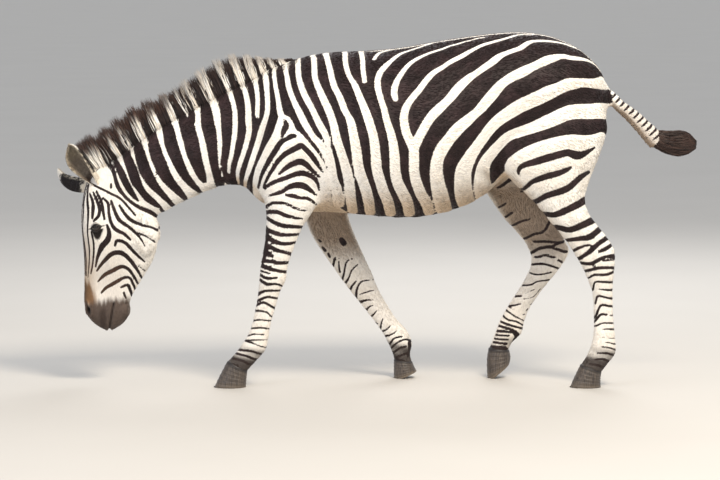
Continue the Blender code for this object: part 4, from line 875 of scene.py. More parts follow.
RIGHT_HINDLEG_DARK = [
    [(495, 558, 2.9), (527, 577, 3.2), (560, 587, 2.9)],
    [(472, 591, 3.2), (496, 611, 2.9)],
    [(445, 624, 2.9), (473, 645, 2.9)],
    [(537, 509, 3.2), (577, 532, 3.6), (611, 541, 3.6), (630, 575, 4.3)],
    [(575, 503, 3.2), (623, 504, 3.6), (662, 498, 4), (685, 502, 3.6)],
    [(568, 460, 4), (595, 478, 4.3), (634, 484, 4.3), (668, 472, 4.3), (696, 464, 4)],
    [(579, 443, 3.6), (617, 453, 4), (651, 444, 4), (680, 426, 3.6)],
    [(568, 417, 3.6), (606, 422, 3.6), (640, 414, 4), (667, 403, 3.6)],
    [(563, 387, 3.2), (590, 382, 3.2), (641, 390, 2.9)],
    [(535, 340, 3.2), (568, 345, 3.2), (590, 357, 2.9), (633, 361, 4)],
    [(544, 312, 1.4), (584, 329, 1.8)],
    [(509, 300, 4), (532, 303, 3.6)],
    [(539, 292, 1.8), (574, 299, 1.8), (601, 328, 1.8)],
    [(563, 270, 1.8), (577, 275, 1.8)],
    [(549, 247, 2.2), (557, 257, 1.8)],
    [(536, 233, 2.2), (545, 236, 1.8)],
    [(489, 259, 2.2), (503, 254, 1.4)],
    [(482, 263, 3.6), (529, 274, 3.2)],
    [(465, 257, 4), (507, 230, 3.2), (541, 211, 2.5)],
    [(453, 241, 4), (479, 218, 4), (512, 210, 3.6), (542, 193, 3.2)],
    [(453, 209, 4), (484, 199, 4.3), (539, 182, 4)],
    [(448, 193, 4.7), (482, 185, 5), (512, 173, 4.7)],
    [(443, 174, 5.4), (475, 173, 4.7), (497, 170, 3.6)],
    [(440, 159, 4), (486, 158, 4)],
    [(435, 145, 4), (483, 143, 4)],
    [(431, 132, 4), (479, 128, 4.7)],
    [(423, 116, 6.1), (472, 112, 7.9)],
    [(414, 111, 6.1), (479, 109, 5.4)],
    [(504, 172, 7.9), (518, 155, 10.8), (506, 136, 6.5)],
]

RIGHT_FORELEG_DARK = [
    [(-126, 511, 8.6), (-117, 499, 10.8)],
    [(-209, 509, 2.9), (-200, 503, 3.6)],
    [(-194, 481, 4), (-185, 470, 5.8)],
    [(-174, 459, 4.3), (-168, 446, 4)],
    [(-156, 412, 4), (-150, 443, 4)],
    [(-131, 391, 4), (-135, 421, 2.5), (-135, 446, 1.8)],
    [(-123, 360, 4.3), (-114, 396, 3.2), (-109, 425, 2.5), (-94, 440, 2.9), (-69, 441, 2.2)],
    [(-110, 352, 4.7), (-98, 372, 3.6), (-87, 400, 2.9), (-65, 420, 2.2)],
    [(-92, 328, 4.3), (-87, 340, 4.3), (-72, 359, 2.9)],
    [(-72, 294, 4.7), (-69, 329, 4.3), (-54, 356, 3.2), (-28, 362, 2.9), (-6, 362, 1.8)],
    [(-58, 309, 2.2), (-32, 319, 2.9), (-7, 324, 2.2)],
    [(-59, 279, 6.5), (-36, 288, 3.6), (-10, 289, 2.2)],
    [(-34, 252, 4.7), (-21, 265, 2.9), (-10, 268, 2.2)],
    [(-17, 226, 4.3), (-3, 241, 2.9), (4, 250, 2.2)],
    [(-5, 204, 4.3), (8, 199, 2.2)],
    [(16, 177, 3.2), (21, 206, 2.9), (26, 221, 2.2)],
    [(26, 173, 4), (39, 180, 3.2), (52, 193, 2.2)],
    [(37, 155, 4.3), (56, 162, 3.2), (74, 173, 2.2)],
    [(47, 120, 4.3), (67, 148, 3.6), (96, 155, 3.2)],
    [(54, 108, 4.3), (77, 132, 3.6), (107, 144, 3.6), (129, 137, 3.6)],
    [(61, 91, 4.3), (88, 113, 4.3), (110, 118, 4.3)],
    [(69, 74, 4.3), (96, 87, 4.3), (118, 93, 5)],
    [(75, 69, 4.3), (103, 65, 4.7)],
    [(80, 51, 4.3), (106, 55, 4.7)],
    [(123, 130, 7.2), (125, 107, 6.5), (118, 82, 5)],
]

LIGHT_GROUNDS = {
    "neck": [(-806, 1348), (-614, 1240), (-594, 1136), (-572, 1074), (-562, 1011), (-562, 940),
        (-559, 883), (-561, 842), (-563, 803), (-556, 755), (-560, 608), (-783, 80), (-1298, 80),
        (-1288, 1192)],
    "shoulder": [(-437, 637), (-436, 705), (-426, 765), (-413, 798), (-397, 830), (-381, 863),
        (-361, 895), (-348, 929), (-341, 1004), (-327, 989), (-307, 984), (-293, 962), (-286, 939),
        (-267, 917), (-242, 887), (-213, 853), (-194, 825), (-180, 802), (-169, 749), (-161, 693),
        (-154, 662), (-111, 629), (196, -66), (-638, -66), (-636, 517), (-426, 582)],
    "thigh": [(952, 882), (798, 896), (765, 885), (732, 883), (688, 885), (644, 880), (600, 870),
        (557, 856), (514, 835), (481, 810), (461, 783), (426, 734), (365, 688), (340, 608), (305, -66),
        (959, -66)],
}

# %% How far a place is from a brush line
LINE_REACH = 0.040
LINE_STEPS = 4  # straight pieces drawn from one place of a line to the next
LINE_BATCH = 8000


def from_lines(places, lines):
    """Distance to the nearest line less the brush's half width there, in metres, never over LINE_REACH."""
    field = np.full(len(places), LINE_REACH)
    for line in lines:
        curve = smooth_rows(line, LINE_STEPS) / 1000
        low = curve[:, :2].min(axis=0) - LINE_REACH - curve[:, 2].max()
        high = curve[:, :2].max(axis=0) + LINE_REACH + curve[:, 2].max()
        near = np.flatnonzero(((places > low) & (places < high)).all(axis=1))
        for part in np.array_split(near, len(near) // LINE_BATCH + 1):
            share, step = off_segments(places[part], curve[:-1, :2], np.diff(curve[:, :2], axis=0))
            away = np.linalg.norm(step, axis=2)
            away -= curve[:-1, 2] + share * np.diff(curve[:, 2])
            field[part] = np.minimum(field[part], away.min(axis=1))
    return field


def inside_outline(places, corners):
    """Distance to a closed outline, negative inside: a place is inside when a ray to +X crosses it an odd
    number of times."""
    a = np.array(corners) / 1000
    b = np.roll(a, -1, axis=0)
    edge = b - a
    away = np.linalg.norm(off_segments(places, a, edge)[1], axis=2).min(axis=1)
    spans = (a[:, 1] > places[:, None, 1]) != (b[:, 1] > places[:, None, 1])
    rise = np.where(np.abs(edge[:, 1]) < 1e-9, 1e-9, edge[:, 1])
    crossing = a[:, 0] + edge[:, 0] * (places[:, None, 1] - a[:, 1]) / rise
    odd = (spans & (crossing > places[:, None, 0])).sum(axis=1) % 2 == 1
    return np.where(odd, -away, away)


# %% Lines down the front of the face, one pair for each share of the half width
FACE_SHARES = (0.0, 0.21, 0.40, 0.58, 0.76)
FACE_BRUSH = (1.4, 2.2, 2.9, 3.4, 3.3, 3.0, 2.4, 1.2, 0.6)  # half width at each section, in millimetres
face_rows = smooth_rows(np.array(HEAD)[1:9, :7], 1)
_, face_along, _, _ = frames_along(face_rows)
FACE_DARK = []
for share in FACE_SHARES:
    spine = face_rows[:, 0:2] + face_along * (ROLL * face_rows[:, 4] * (1 - share))[:, None]
    FACE_DARK.append(np.column_stack([spine * 1000, FACE_BRUSH[: len(spine)]]))
body_lines = (TRUNK_LIGHT, SHOULDER_DARK, NECK_DARK, HEAD_DARK, FACE_DARK)
print("brush lines on the body:", sum(len(lines) for lines in body_lines))

# %% [markdown]
# ## The two sides
# The left side gets the lines as drawn. The right side gets them mirrored and gently warped, as no zebra is
# the same on both sides. The right legs stand in another pose, so their outer faces take the left
# legs' lines, shifted along x by how far the legs are apart, and their inner faces have lines of their own.


# %% Numbers of the stripe field, in metres
RIGHT_WARP = 0.014  # how far the right side's lines wander
SHOULDER_WIDER = 0.0014  # added to the brush on the shoulder
INNER_NARROWER = 0.0045  # taken off the brush on a leg's inner face, so that its lines fade there
HIND_FROM = 0.27  # a leg behind this x is a hind leg
LEG_MIDDLE = 0.127  # distance of the legs' middles from the middle of the body
SPINE_HALF, HEM_MIDDLE = 0.010, 0.018  # dark line down the spine, and the light hem beside it
BAR_EVERY, BAR_HALF, TAIL_HALF = 0.021, 0.0042, 0.030
TAIL_UP = (0.78, 0.0, 0.62)  # the way the tail's upper face looks
DOCK_CUT = ((0.833, 1.050), (0.980, 0.196))  # where the tail leaves the rump: place and normal, x and z


# %% The stripe field of any points
def leg_shift(left_rows, right_rows):
    """Height, and how far the left leg's middle lies in front of the right one's there."""
    levels = np.linspace(0.0, 0.92, 47)
    x = []
    for rows in (np.array(left_rows)[::-1], np.array(right_rows)[::-1]):
        x.append(np.interp(levels, (rows[:, 1] + rows[:, 3]) / 2, (rows[:, 0] + rows[:, 2]) / 2))
    return levels, x[0] - x[1]


FORE_SHIFT = leg_shift(FORELEG_PLANTED, FORELEG_TRAILING)
HIND_SHIFT = leg_shift(HINDLEG_PLANTED, HINDLEG_LIFTING)


def side_of_cut(points, middle, normal):
    """Distance of each point from a plane across the body, which is given in x and z."""
    return (points[:, 0] - middle[0]) * normal[0] + (points[:, 2] - middle[1]) * normal[1]


def with_spine(dark, points, normals):
    """The field with a dark line down the spine between two light hems. Both fade in behind the withers."""
    x, y, z = points.T
    on_back = (z > 1.0) & (x > -0.15) & (x < 0.78) & (normals[:, 2] > 0)
    fades = ease(-0.15, 0.03, x)
    hem = np.abs(np.abs(y) - HEM_MIDDLE) + 0.002 - 0.0085 * fades
    dark = np.where(on_back, np.minimum(dark, hem), dark)
    return np.where(on_back, np.maximum(dark, SPINE_HALF * fades - np.abs(y)), dark)


def with_tail(dark, points, normals):
    """The field with short dark bars across the pale tail, on its upper face."""
    x, y, z = points.T
    down_tail = (x - 0.86) * 0.62 + (1.06 - z) * 0.78
    along = down_tail / BAR_EVERY + 0.25 * np.sin(40 * y)
    underneath = ease(0.2, -0.5, normals @ TAIL_UP)
    bars = BAR_HALF - np.abs(along % 1 - 0.5) * BAR_EVERY - 0.006 * underneath
    on_tail = (side_of_cut(points, *DOCK_CUT) > 0.004 + 0.25 * np.abs(y)) & (z > 0.5)
    return np.where(on_tail, np.where(np.abs(y) < TAIL_HALF, bars, -0.01), dark)


def darkness(points, normals):
    """Stripe field in metres, positive where the coat is dark: the larger of the distance outside the light
    lines and grounds, and the distance inside the dark lines."""
    straight = rolled_out(points)
    x, y, z = points.T
    right = y > 0
    hind = x > HIND_FROM
    warp = RIGHT_WARP * ease(0.0, 0.10, y) * ease(-0.80, -0.60, x)
    u, v = straight.T
    waves = np.column_stack([np.sin(9.0 * v + 5.0 * u + 1.0), np.sin(8.0 * u - 6.0 * v + 2.0)])
    places = straight + waves * warp[:, None]
    shifted = places.copy()
    apart = np.where(hind, np.interp(z, *HIND_SHIFT), np.interp(z, *FORE_SHIFT))
    shifted[:, 0] += np.where(right, apart * ease(0.88, 0.70, z), 0)
    light = from_lines(places, TRUNK_LIGHT)
    for name, corners in LIGHT_GROUNDS.items():
        light = np.minimum(light, inside_outline(places, corners))
        if name != "neck":
            light = np.minimum(light, inside_outline(shifted, corners))
    upper = from_lines(places, NECK_DARK + HEAD_DARK)
    upper = np.minimum(from_lines(places, SHOULDER_DARK) - SHOULDER_WIDER, upper)
    upper = np.minimum(upper, np.where(x < -0.85, from_lines(places, FACE_DARK), LINE_REACH))
    legs = np.where(hind, from_lines(shifted, LEFT_HINDLEG_DARK), from_lines(shifted, LEFT_FORELEG_DARK))
    facing_in = ease(0.10, 0.75, -np.sign(y) * normals[:, 1]) * ease(0.74, 0.62, z)
    legs = legs + INNER_NARROWER * facing_in
    own = np.where(hind, from_lines(straight, RIGHT_HINDLEG_DARK), from_lines(straight, RIGHT_FORELEG_DARK))
    inner = ease(0.010, -0.010, y - LEG_MIDDLE) * right * ease(0.70, 0.64, z)
    legs = legs * (1 - inner) + (own - 0.0002) * inner
    dark = with_spine(np.maximum(light, -np.minimum(upper, legs)), points, normals)
    # Tufts of both colours mix along an edge. On fine lines that reads as light, so the dark side gets more.
    neck, face = ease(-0.40, -0.50, x), ease(-0.82, -0.90, x)
    rump, shins = ease(0.30, 0.45, x) * ease(0.66, 0.74, z), ease(0.70, 0.60, z) * ease(0.36, 0.48, z)
    dark += 0.0001 * neck + 0.0013 * face - 0.0002 - 0.0010 * rump
    dark += (0.0010 + 0.0008 * hind) * shins * (x > -0.8)
    return with_tail(dark, points, normals)


def head_tints(x, z):
    """Marks on the head: dark muzzle and lips, tan nose patch, and the bridge of the nose, a little dusky."""
    on_head = ease(-0.86, -0.90, x) * ease(0.60, 0.50, z)
    ragged = 0.006 * np.sin(210 * x + 3 * np.sin(90 * x)) + 0.004 * np.sin(400 * x + 60 * z)
    edge = 0.304 - 0.018 * ease(-0.95, -1.03, x) + ragged
    muzzle = 0.98 * on_head * ease(0.016, -0.012, z - edge) ** 0.7
    nose = np.hypot((x + 1.040) / 0.040, (z - 0.308 + 0.40 * (x + 1.04)) / 0.068)
    tan = 0.97 * on_head * ease(1.15, 0.60, nose + ragged * 14) * ease(0.260, 0.294, z + ragged)
    dusky = 0.20 * ease(-0.89, -0.94, x) * ease(0.50, 0.40, z) * ease(0.28, 0.32, z)
    bridge = on_head * ease(-0.99, -1.05, x) * ease(0.62, 0.40, z) * 0.75
    front = ease(-1.035, -1.062, x) * ease(0.40, 0.33, z)
    front = front + 0.8 * ease(0.018, 0.004, np.abs(x + 0.985)) * ease(0.29, 0.26, z)
    return muzzle, np.maximum(tan, dusky), bridge, 0.75 * on_head * np.clip(front, 0, 1)


def tints(points, normals):
    """Shares of other colours, each from 0 to 1: dark muzzle, tan nose patch, cream underside that is also
    painted shade where it turns down, painted shade on inner faces and under the tail, sooty pasterns, and
    where the hair hangs down."""
    x, y, z = points.T
    muzzle, tan, bridge, lips = head_tints(x, z)
    on_body = x > -0.8
    # Cream of the belly hair, and painted shade: the more a face turns down, away from the light, the more
    # tint it gets
    belly_cream_and_shade = ease(-0.45, -0.92, normals[:, 2]) * (z > 0.5) * (x > -0.5)
    dusty_legs = 0.10 * ease(0.62, 0.30, z) * on_body
    cream = np.clip(0.85 * belly_cream_and_shade + dusty_legs + bridge, 0, 1)
    # Painted shade: the legs' inner faces, which the light misses, get a grey-brown tint
    facing_in = ease(0.05, 0.75, -np.sign(y) * normals[:, 1]) * on_body
    inner = facing_in * ease(0.40, 0.52, z) * ease(0.80, 0.68, z)
    # Painted shade under the tail, on faces turned away from its upper face; the rest of the tail gets some
    # of the tint as its own grey tone
    tail_underside_shade = (x > 0.84) * (z > 0.5) * ease(0.1, -0.8, normals @ TAIL_UP)
    inner = np.minimum(np.maximum(inner, tail_underside_shade + 0.35 * (x > 0.88) * (z > 0.5)), 1)
    soot = 0.95 * ease(0.158, 0.088, z + 0.012 * np.sin(120 * z + 40 * x)) * on_body
    soot = np.maximum(soot, lips)
    down = np.maximum(ease(0.72, 0.60, z), ease(-0.93, -0.97, x))
    return {"muzzle": muzzle, "tan": tan, "cream": cream, "inner": inner, "soot": soot, "down": down}


# %% [markdown]
# ## Bone and muscle under the skin
# Under a thin coat the masses of a zebra show: the ridge of the shoulder blade, the hollow of the flank, the
# crest of the cheek, the groove between shin bone and tendon. A sculptor would carve them by hand. Here
# each one is a stroke on the side view that lifts or lowers the skin along its normal by a bell curve.

# %% Lift and lower the skin
BOTH, LEFT, RIGHT = 0, -1, 1
MASSES = [  # side, height in mm, reach in mm, points (x, z)
    (BOTH, 4.0, 30, [(-0.300, 1.070), (-0.355, 0.940), (-0.410, 0.810)]),  # ridge of the shoulder blade
    (BOTH, -4.0, 24, [(-0.450, 1.000), (-0.490, 0.880), (-0.465, 0.770)]),  # groove before the shoulder
    (BOTH, -6.0, 26, [(-0.225, 0.960), (-0.190, 0.840), (-0.225, 0.730)]),  # behind the upper arm
    (BOTH, 6.0, 50, [(-0.285, 0.850), (-0.270, 0.760)]),  # upper arm
    (BOTH, 5.0, 20, [(-0.225, 0.670), (-0.218, 0.660)]),  # elbow
    (BOTH, -8.0, 60, [(0.330, 0.970), (0.370, 0.870)]),  # hollow of the flank
    (BOTH, -4.0, 18, [(0.370, 0.770), (0.430, 0.715), (0.480, 0.670)]),  # fold of the flank
    (BOTH, 6.0, 40, [(0.400, 1.130), (0.430, 1.110)]),  # point of the hip
    (BOTH, -5.0, 22, [(0.735, 1.010), (0.760, 0.890), (0.755, 0.770), (0.735, 0.680)]),  # back of the thigh
    (BOTH, 5.0, 36, [(0.465, 0.790), (0.480, 0.750)]),  # stifle
    (BOTH, -4.0, 18, [(-0.840, 0.665), (-0.740, 0.700), (-0.620, 0.740), (-0.520, 0.770)]),  # throat groove
    (BOTH, 3.0, 34, [(-0.860, 0.745), (-0.720, 0.805), (-0.560, 0.865)]),  # long muscle of the neck
    (BOTH, 3.6, 9, [(-0.978, 0.520), (-0.965, 0.470), (-0.957, 0.425)]),  # crest of the cheek
    (BOTH, -2.6, 9, [(-0.857, 0.600), (-0.834, 0.550), (-0.832, 0.495), (-0.866, 0.440)]),  # cheek's edge
    (BOTH, -4.0, 13, [(-1.004, 0.640), (-0.985, 0.650)]),  # hollow above the eye
    (BOTH, -2.6, 15, [(-0.998, 0.420), (-0.995, 0.350)]),  # before the crest, towards the nose
    (BOTH, 2.6, 12, [(-1.020, 0.310), (-1.012, 0.250)]),  # wing of the nostril
    (BOTH, -2.2, 8, [(-0.985, 0.300), (-0.975, 0.230)]),  # above the lips
    (LEFT, -4.0, 15, [(0.640, 0.680), (0.700, 0.580), (0.752, 0.480)]),  # between thigh and tendon
    (LEFT, 3.0, 14, [(0.842, 0.470), (0.840, 0.450)]),  # point of the hock
    (LEFT, -3.0, 12, [(0.800, 0.520), (0.812, 0.470)]),  # hollow before the hock's tendon
    (LEFT, 2.6, 16, [(-0.385, 0.395), (-0.388, 0.375)]),  # knee
    (RIGHT, 2.6, 16, [(-0.060, 0.355), (-0.052, 0.335)]),  # knee
]
RIBS = []
for x in np.arange(-0.12, 0.22, 0.052):
    RIBS.append((BOTH, 1.5, 10, [(x, 1.000), (x + 0.030, 0.880), (x + 0.020, 0.760)]))


CANNON_ROWS = slice(9, 12)
TENDON_SHARE = 0.36  # of each section's depth, from its back edge


def cannon_groove(rows, side):
    """A groove down the shin, where bone and tendon part."""
    r = np.array(rows[CANNON_ROWS])
    spots = r[:, 2:4] + TENDON_SHARE * (r[:, 0:2] - r[:, 2:4])
    return (side, -2.0, 6, [tuple(p) for p in spots])


GROOVES = [cannon_groove(*TUBES[leg]) for leg in TUBES if "leg" in leg]
points, normals = points_of(skin), normals_of(skin)
lift = np.zeros(len(points))
for side, height, reach, line in MASSES + RIBS + GROOVES:
    curve = smooth_rows(line, LINE_STEPS)
    close = np.abs(points[:, [0, 2]] - curve.mean(axis=0)) < np.ptp(curve, axis=0) + 0.15
    near = np.flatnonzero(close.all(axis=1))
    _, step = off_segments(points[near][:, [0, 2]], curve[:-1], np.diff(curve, axis=0))
    away = np.linalg.norm(step, axis=2).min(axis=1)
    shows = ease(0.15, 0.60, np.abs(normals[near, 1])) * np.where(side == 0, 1, points[near, 1] * side > 0)
    lift[near] += height / 1000 * np.exp(-((away / (reach / 1000)) ** 2)) * shows
points += normals * lift[:, None]
move_points(skin, points)
print("skin lifted by up to %.1f mm and lowered by up to %.1f mm" % (1000 * lift.max(), -1000 * lift.min()))

# %% [markdown]
# ## Eyes
# A zebra's eye is a ball 41 mm across with a brown iris and a pupil that lies flat. The lids are skin wrapped
# over it. The skin is pushed out round the ball, and inside the opening it is pushed behind it. A dark rim
# of its own, carried round the opening, gives the lid its thickness.

# %% Eye shape
LID_GAP = 0.0016
EYE_SUNK = 0.0035  # how far the skin inside the opening lies behind the face of the ball
CREASE_AT = 0.029  # distance of the creases from the middle of the eye
EYE_LONG, EYE_UPPER, EYE_LOWER = 1.12, 0.52, 0.66  # half opening in radians: along, above and below


def eye_axes(side):
    """Outward axis of the eye, its long axis from front corner to back corner, and the one up across it."""
    out = unit(np.array([-0.12, side * 0.99, -0.04]))
    long = np.array([0.96, side * 0.10, 0.24])
    long = unit(long - out * np.dot(out, long))
    up = np.cross(long, out) * side
    return out, long, up if up[2] > 0 else -up


def eye_angles(points, side):
    """Angles from the eye's axis along its long axis and across it, the distance from its middle, the unit
    direction from there, and the middle itself."""
    middle = np.array(EYE_PLACE) * [1, side, 1]
    out, long, up = eye_axes(side)
    away = points - middle
    distance = np.linalg.norm(away, axis=1)
    ray = away / distance[:, None]
    return np.arctan2(ray @ long, ray @ out), np.arctan2(ray @ up, ray @ out), distance, ray, middle


def lid_edge(along):
    """Upper and lower edge of the opening: each is its height times (1 - (a / long)^2) to a power below 1."""
    arch = np.clip(1 - (along / EYE_LONG) ** 2, 0, 1)
    return EYE_UPPER * arch**0.75, -EYE_LOWER * arch**0.85


def outside_opening(along, across):
    """Distance on the ball from the opening of the lids, negative inside it."""
    upper, lower = lid_edge(along)
    return np.maximum(np.maximum(across - upper, lower - across), np.abs(along) - EYE_LONG) * EYE_RADIUS


points = points_of(skin)
bare = np.zeros(len(points))
for side in (LEFT, RIGHT):
    along, across, distance, ray, middle = eye_angles(points, side)
    upper, lower = lid_edge(along)
    gap = outside_opening(along, across)
    ahead = ray @ eye_axes(side)[0]
    # Dark skin: a thin rim round the opening, and a pouch below it that narrows downwards
    rim = ease(0.0090, 0.0030, gap) * (distance < 0.040) * (ahead > 0.1)
    below = middle[2] - 0.004 - points[:, 2]
    pouch_width = 0.026 - 0.22 * below.clip(0, 0.06)
    pouch = np.hypot((points[:, 0] - middle[0] - 0.002) / pouch_width, below / 0.046)
    pouch = ease(1.0, 0.78, pouch) * (below > 0) * (points[:, 1] * side > 0)
    bare = np.maximum(bare, np.maximum(rim, pouch * (across < lower + 0.1)))
    facing = (ahead > 0.15) & (distance < 0.060)
    shell = EYE_RADIUS + LID_GAP
    wrapped = middle + ray * np.maximum(distance, shell)[:, None]
    points = np.where((facing & (distance < shell))[:, None], wrapped, points)
    # A soft crease above and below the lids
    crease = np.exp(-(((distance - CREASE_AT) / 0.0035) ** 2)) * facing * (np.abs(along) < 1.2)
    fold = 0.0022 * ease(0.05, 0.55, across) + 0.0014 * ease(-0.05, -0.55, across)
    points = points - ray * (crease * fold)[:, None]
    inside = facing & (across < upper) & (across > lower) & (np.abs(along) < EYE_LONG)
    sunk = middle + ray * (EYE_RADIUS - EYE_SUNK)
    points = np.where(inside[:, None], sunk, points)
move_points(skin, points)
print("points with bare skin round the eyes:", int((bare > 0.5).sum()))


# %% Nostrils and mouth
def dented(points, middle, half_size, turn, depth):
    """How deep a dent is at each point, depth * (1 - r^2) to the power 1.2, and r, which is the distance in a
    turned ellipse of the side view, 1 on its edge."""
    c, s = math.cos(math.radians(turn)), math.sin(math.radians(turn))
    dx, dz = points[:, 0] - middle[0], points[:, 2] - middle[1]
    r2 = ((dx * c + dz * s) / half_size[0]) ** 2 + ((dz * c - dx * s) / half_size[1]) ** 2
    return depth * np.clip(1 - r2, 0, 1) ** 1.2, np.sqrt(r2)


NOSTRIL_DENT, NOSTRIL_HALF, NOSTRIL_TURN, NOSTRIL_DEPTH = (-1.040, 0.268), (0.011, 0.023), 12, 0.015
LIP_GROOVE, LIP_RIM = (0.0050, 0.0038), (0.0016, 0.005)  # depth or height of each, and its reach
points, normals = points_of(skin), normals_of(skin)
nose = (points[:, 0] < -0.93) & (points[:, 2] < 0.36)
dent, ring = dented(points, NOSTRIL_DENT, NOSTRIL_HALF, NOSTRIL_TURN, NOSTRIL_DEPTH)
rim = 0.0035 * np.exp(-(((ring - 1.35) / 0.32) ** 2))
outer = ease(0.25, 0.7, np.abs(normals[:, 1])) * nose
points += normals * ((rim - dent) * outer)[:, None]
lip = np.array([MOUTH_CORNER, MOUTH_FRONT])
edge = lip[1] - lip[0]
share = np.clip(((points[:, [0, 2]] - lip[0]) @ edge) / (edge @ edge), 0, 1)
away = np.linalg.norm(points[:, [0, 2]] - lip[0] - share[:, None] * edge, axis=1)
groove = -LIP_GROOVE[0] * np.exp(-((away / LIP_GROOVE[1]) ** 2))
groove = (groove + LIP_RIM[0] * np.exp(-(((away - 0.0095) / LIP_RIM[1]) ** 2))) * nose
points += normals * (groove * ease(-0.02, 0.06, share))[:, None]
move_points(skin, points)
# Painted shade inside the nostril's hollow, near black
nostril_hollow_shade = np.clip(1.25 - ring, 0, 1) * outer
# Painted shade along the crease of the mouth
mouth_crease_shade = np.exp(-((away / 0.0032) ** 2)) * nose
print("nostril depth %.1f mm" % (1000 * dent.max()))


# %% Eyeballs, lid rims and lashes
def carried(path, radii, sides=8, turn_from=(0.0, 1.0, 0.0)):
    """(points, faces) of a closed tube whose ring at each path point has radii (across, along the normal)."""
    path, radii = np.array(path, float), np.array(radii, float)
    ahead = unit(np.gradient(path, axis=0))
    across = unit(np.cross(ahead, turn_from))
    normal = np.cross(across, ahead)
    angle = np.arange(sides) * 2 * np.pi / sides
    ring = across[:, None] * np.cos(angle)[:, None] * radii[:, None, :1]
    ring = ring + normal[:, None] * np.sin(angle)[:, None] * radii[:, None, 1:]
    return tube(path[:, None] + ring)


EYE_RINGS, EYE_SIDES = 41, 56
LID_RADII = (0.0021, 0.0019)
LASHES = 46
eyes, lids = [], []
for side, word in ((LEFT, "left"), (RIGHT, "right")):
    middle = np.array(EYE_PLACE) * [1, side, 1]
    out, long, up = eye_axes(side)
    a = np.linspace(0, np.pi, EYE_RINGS)[1:-1, None]
    b = (np.arange(EYE_SIDES) * 2 * np.pi / EYE_SIDES)[None, :]
    cornea = EYE_RADIUS + 0.0012 * ease(0.62, 0.30, a)
    rings = (
        out * (cornea * np.cos(a))[..., None]
        + long * (cornea * np.sin(a) * np.cos(b))[..., None]
        + up * (cornea * np.sin(a) * np.sin(b))[..., None]
    )
    eye = mesh_piece(f"eyeball_{word}", *tube(middle + rings))
    along, across, _, _, _ = eye_angles(points_of(eye), side)
    note(eye, "iris", np.hypot(along, across))
    note(eye, "pupil", np.hypot(along / 0.34, (across + 0.02) / 0.19))
    eyes.append(eye)
    turn = np.linspace(-EYE_LONG, EYE_LONG, 34)
    upper, lower = lid_edge(turn)
    back = np.column_stack([turn, lower])[::-1]
    loop = np.concatenate([np.column_stack([turn, upper]), back[1:-1]])
    loop = np.concatenate([loop, loop[:1]])
    rays = unit(out + np.tan(loop[:, :1]) * long + np.tan(loop[:, 1:]) * up)
    lids.append(carried(middle + rays * (EYE_RADIUS + 0.0012), np.tile(LID_RADII, (len(loop), 1)), 8, out))
    # A thin dark strand of lid skin above the upper lid, painted shade in its fold
    lid_fold_shade = np.linspace(-0.95, 1.02, 26)
    high = 0.32 + 0.60 * np.clip(1 - (lid_fold_shade / 1.25) ** 2, 0, 1) ** 0.6
    rays = unit(out + np.tan(lid_fold_shade[:, None]) * long + np.tan(high[:, None]) * up)
    size = 0.0013 * np.sin(np.linspace(0.15, np.pi - 0.15, len(lid_fold_shade)))[:, None] * [1.0, 0.8]
    lids.append(carried(middle + rays * (EYE_RADIUS + 0.0020), size, 8, out))
    # Lashes: short curved spikes from the upper rim, outwards and down
    start = np.linspace(-0.80, 0.90, LASHES) + rng.uniform(-0.01, 0.01, LASHES)
    edge_up = lid_edge(start)[0]
    rays = unit(out + np.tan(start[:, None]) * long + np.tan(edge_up[:, None]) * up)
    root = rays * (EYE_RADIUS + 0.002) + middle
    length = 0.013 + 0.004 * rng.random(LASHES)
    for r, s, l in zip(root, start, length):
        t = np.linspace(0, 1, 4)[:, None]
        path = r + (out + 0.25 * s * long) * l * t - up * l * 0.55 * t**2
        lids.append(carried(path, np.linspace(0.00045, 0.0001, 4)[:, None] * [1, 1], 3, long))
lid_rims = mesh_piece("eyelid_rims", *together(lids))
print("eyes:", [len(e.data.polygons) for e in eyes], "lid faces:", len(lid_rims.data.polygons))

# %% [markdown]
# ## Ears
# A zebra's ear is a rolled leaf of cartilage: a sleeve at the root that opens into a cup and closes at the
# tip. Both faces carry hair. It is made as a grid: one way along the ear, the other way round the
# C of its section, and the same grid moved inwards gives the inner wall.


# %% The ear shells
def ear_grid(root, tip, faces, bend, along=34, around=26):
    """Outer and inner points, middle + radius * (front * cos a + across * sin a), for a from the opening's
    half angle to a full turn less it, where the middle bows off the line from root to tip. Then the share
    along the ear and its axis."""
    root, tip = np.array(root), np.array(tip)
    axis = unit(tip - root)
    front = unit(np.array(faces) - axis * np.dot(faces, axis))
    across = np.cross(axis, front)
    rows = smooth_rows(EAR_FORM, 8)
    rows = rows[np.linspace(0, len(rows) - 1, along).astype(int)]
    share, radius, opening, bow = rows.T
    opening = np.radians(opening)
    middle = root + np.outer(share, tip - root) - np.outer(radius * 0.35, front)
    middle = middle + np.outer(bow * bend, across)
    turn = opening[:, None] + (2 * np.pi - 2 * opening)[:, None] * np.linspace(0, 1, around)
    ray = front * np.cos(turn)[..., None] + across * (0.92 * np.sin(turn))[..., None]
    wall = np.minimum(EAR_THICKNESS - 0.001, radius * 0.7)[:, None]
    # The rim thins out, and low ribs run along the inside.
    round_share = np.linspace(0, 1, around)
    rim = np.clip(np.minimum(round_share, 1 - round_share) * 9, 0.25, 1)
    ribs = 0.0012 * np.maximum(np.sin(round_share * np.pi * 7), 0) * ease(0.3, 0.6, share)[:, None]
    outer = middle[:, None] + ray * (radius[:, None] - 0.0006)[..., None]
    inner = middle[:, None] + ray * (radius[:, None] - wall * rim - ribs)[..., None]
    return outer, inner, share, axis


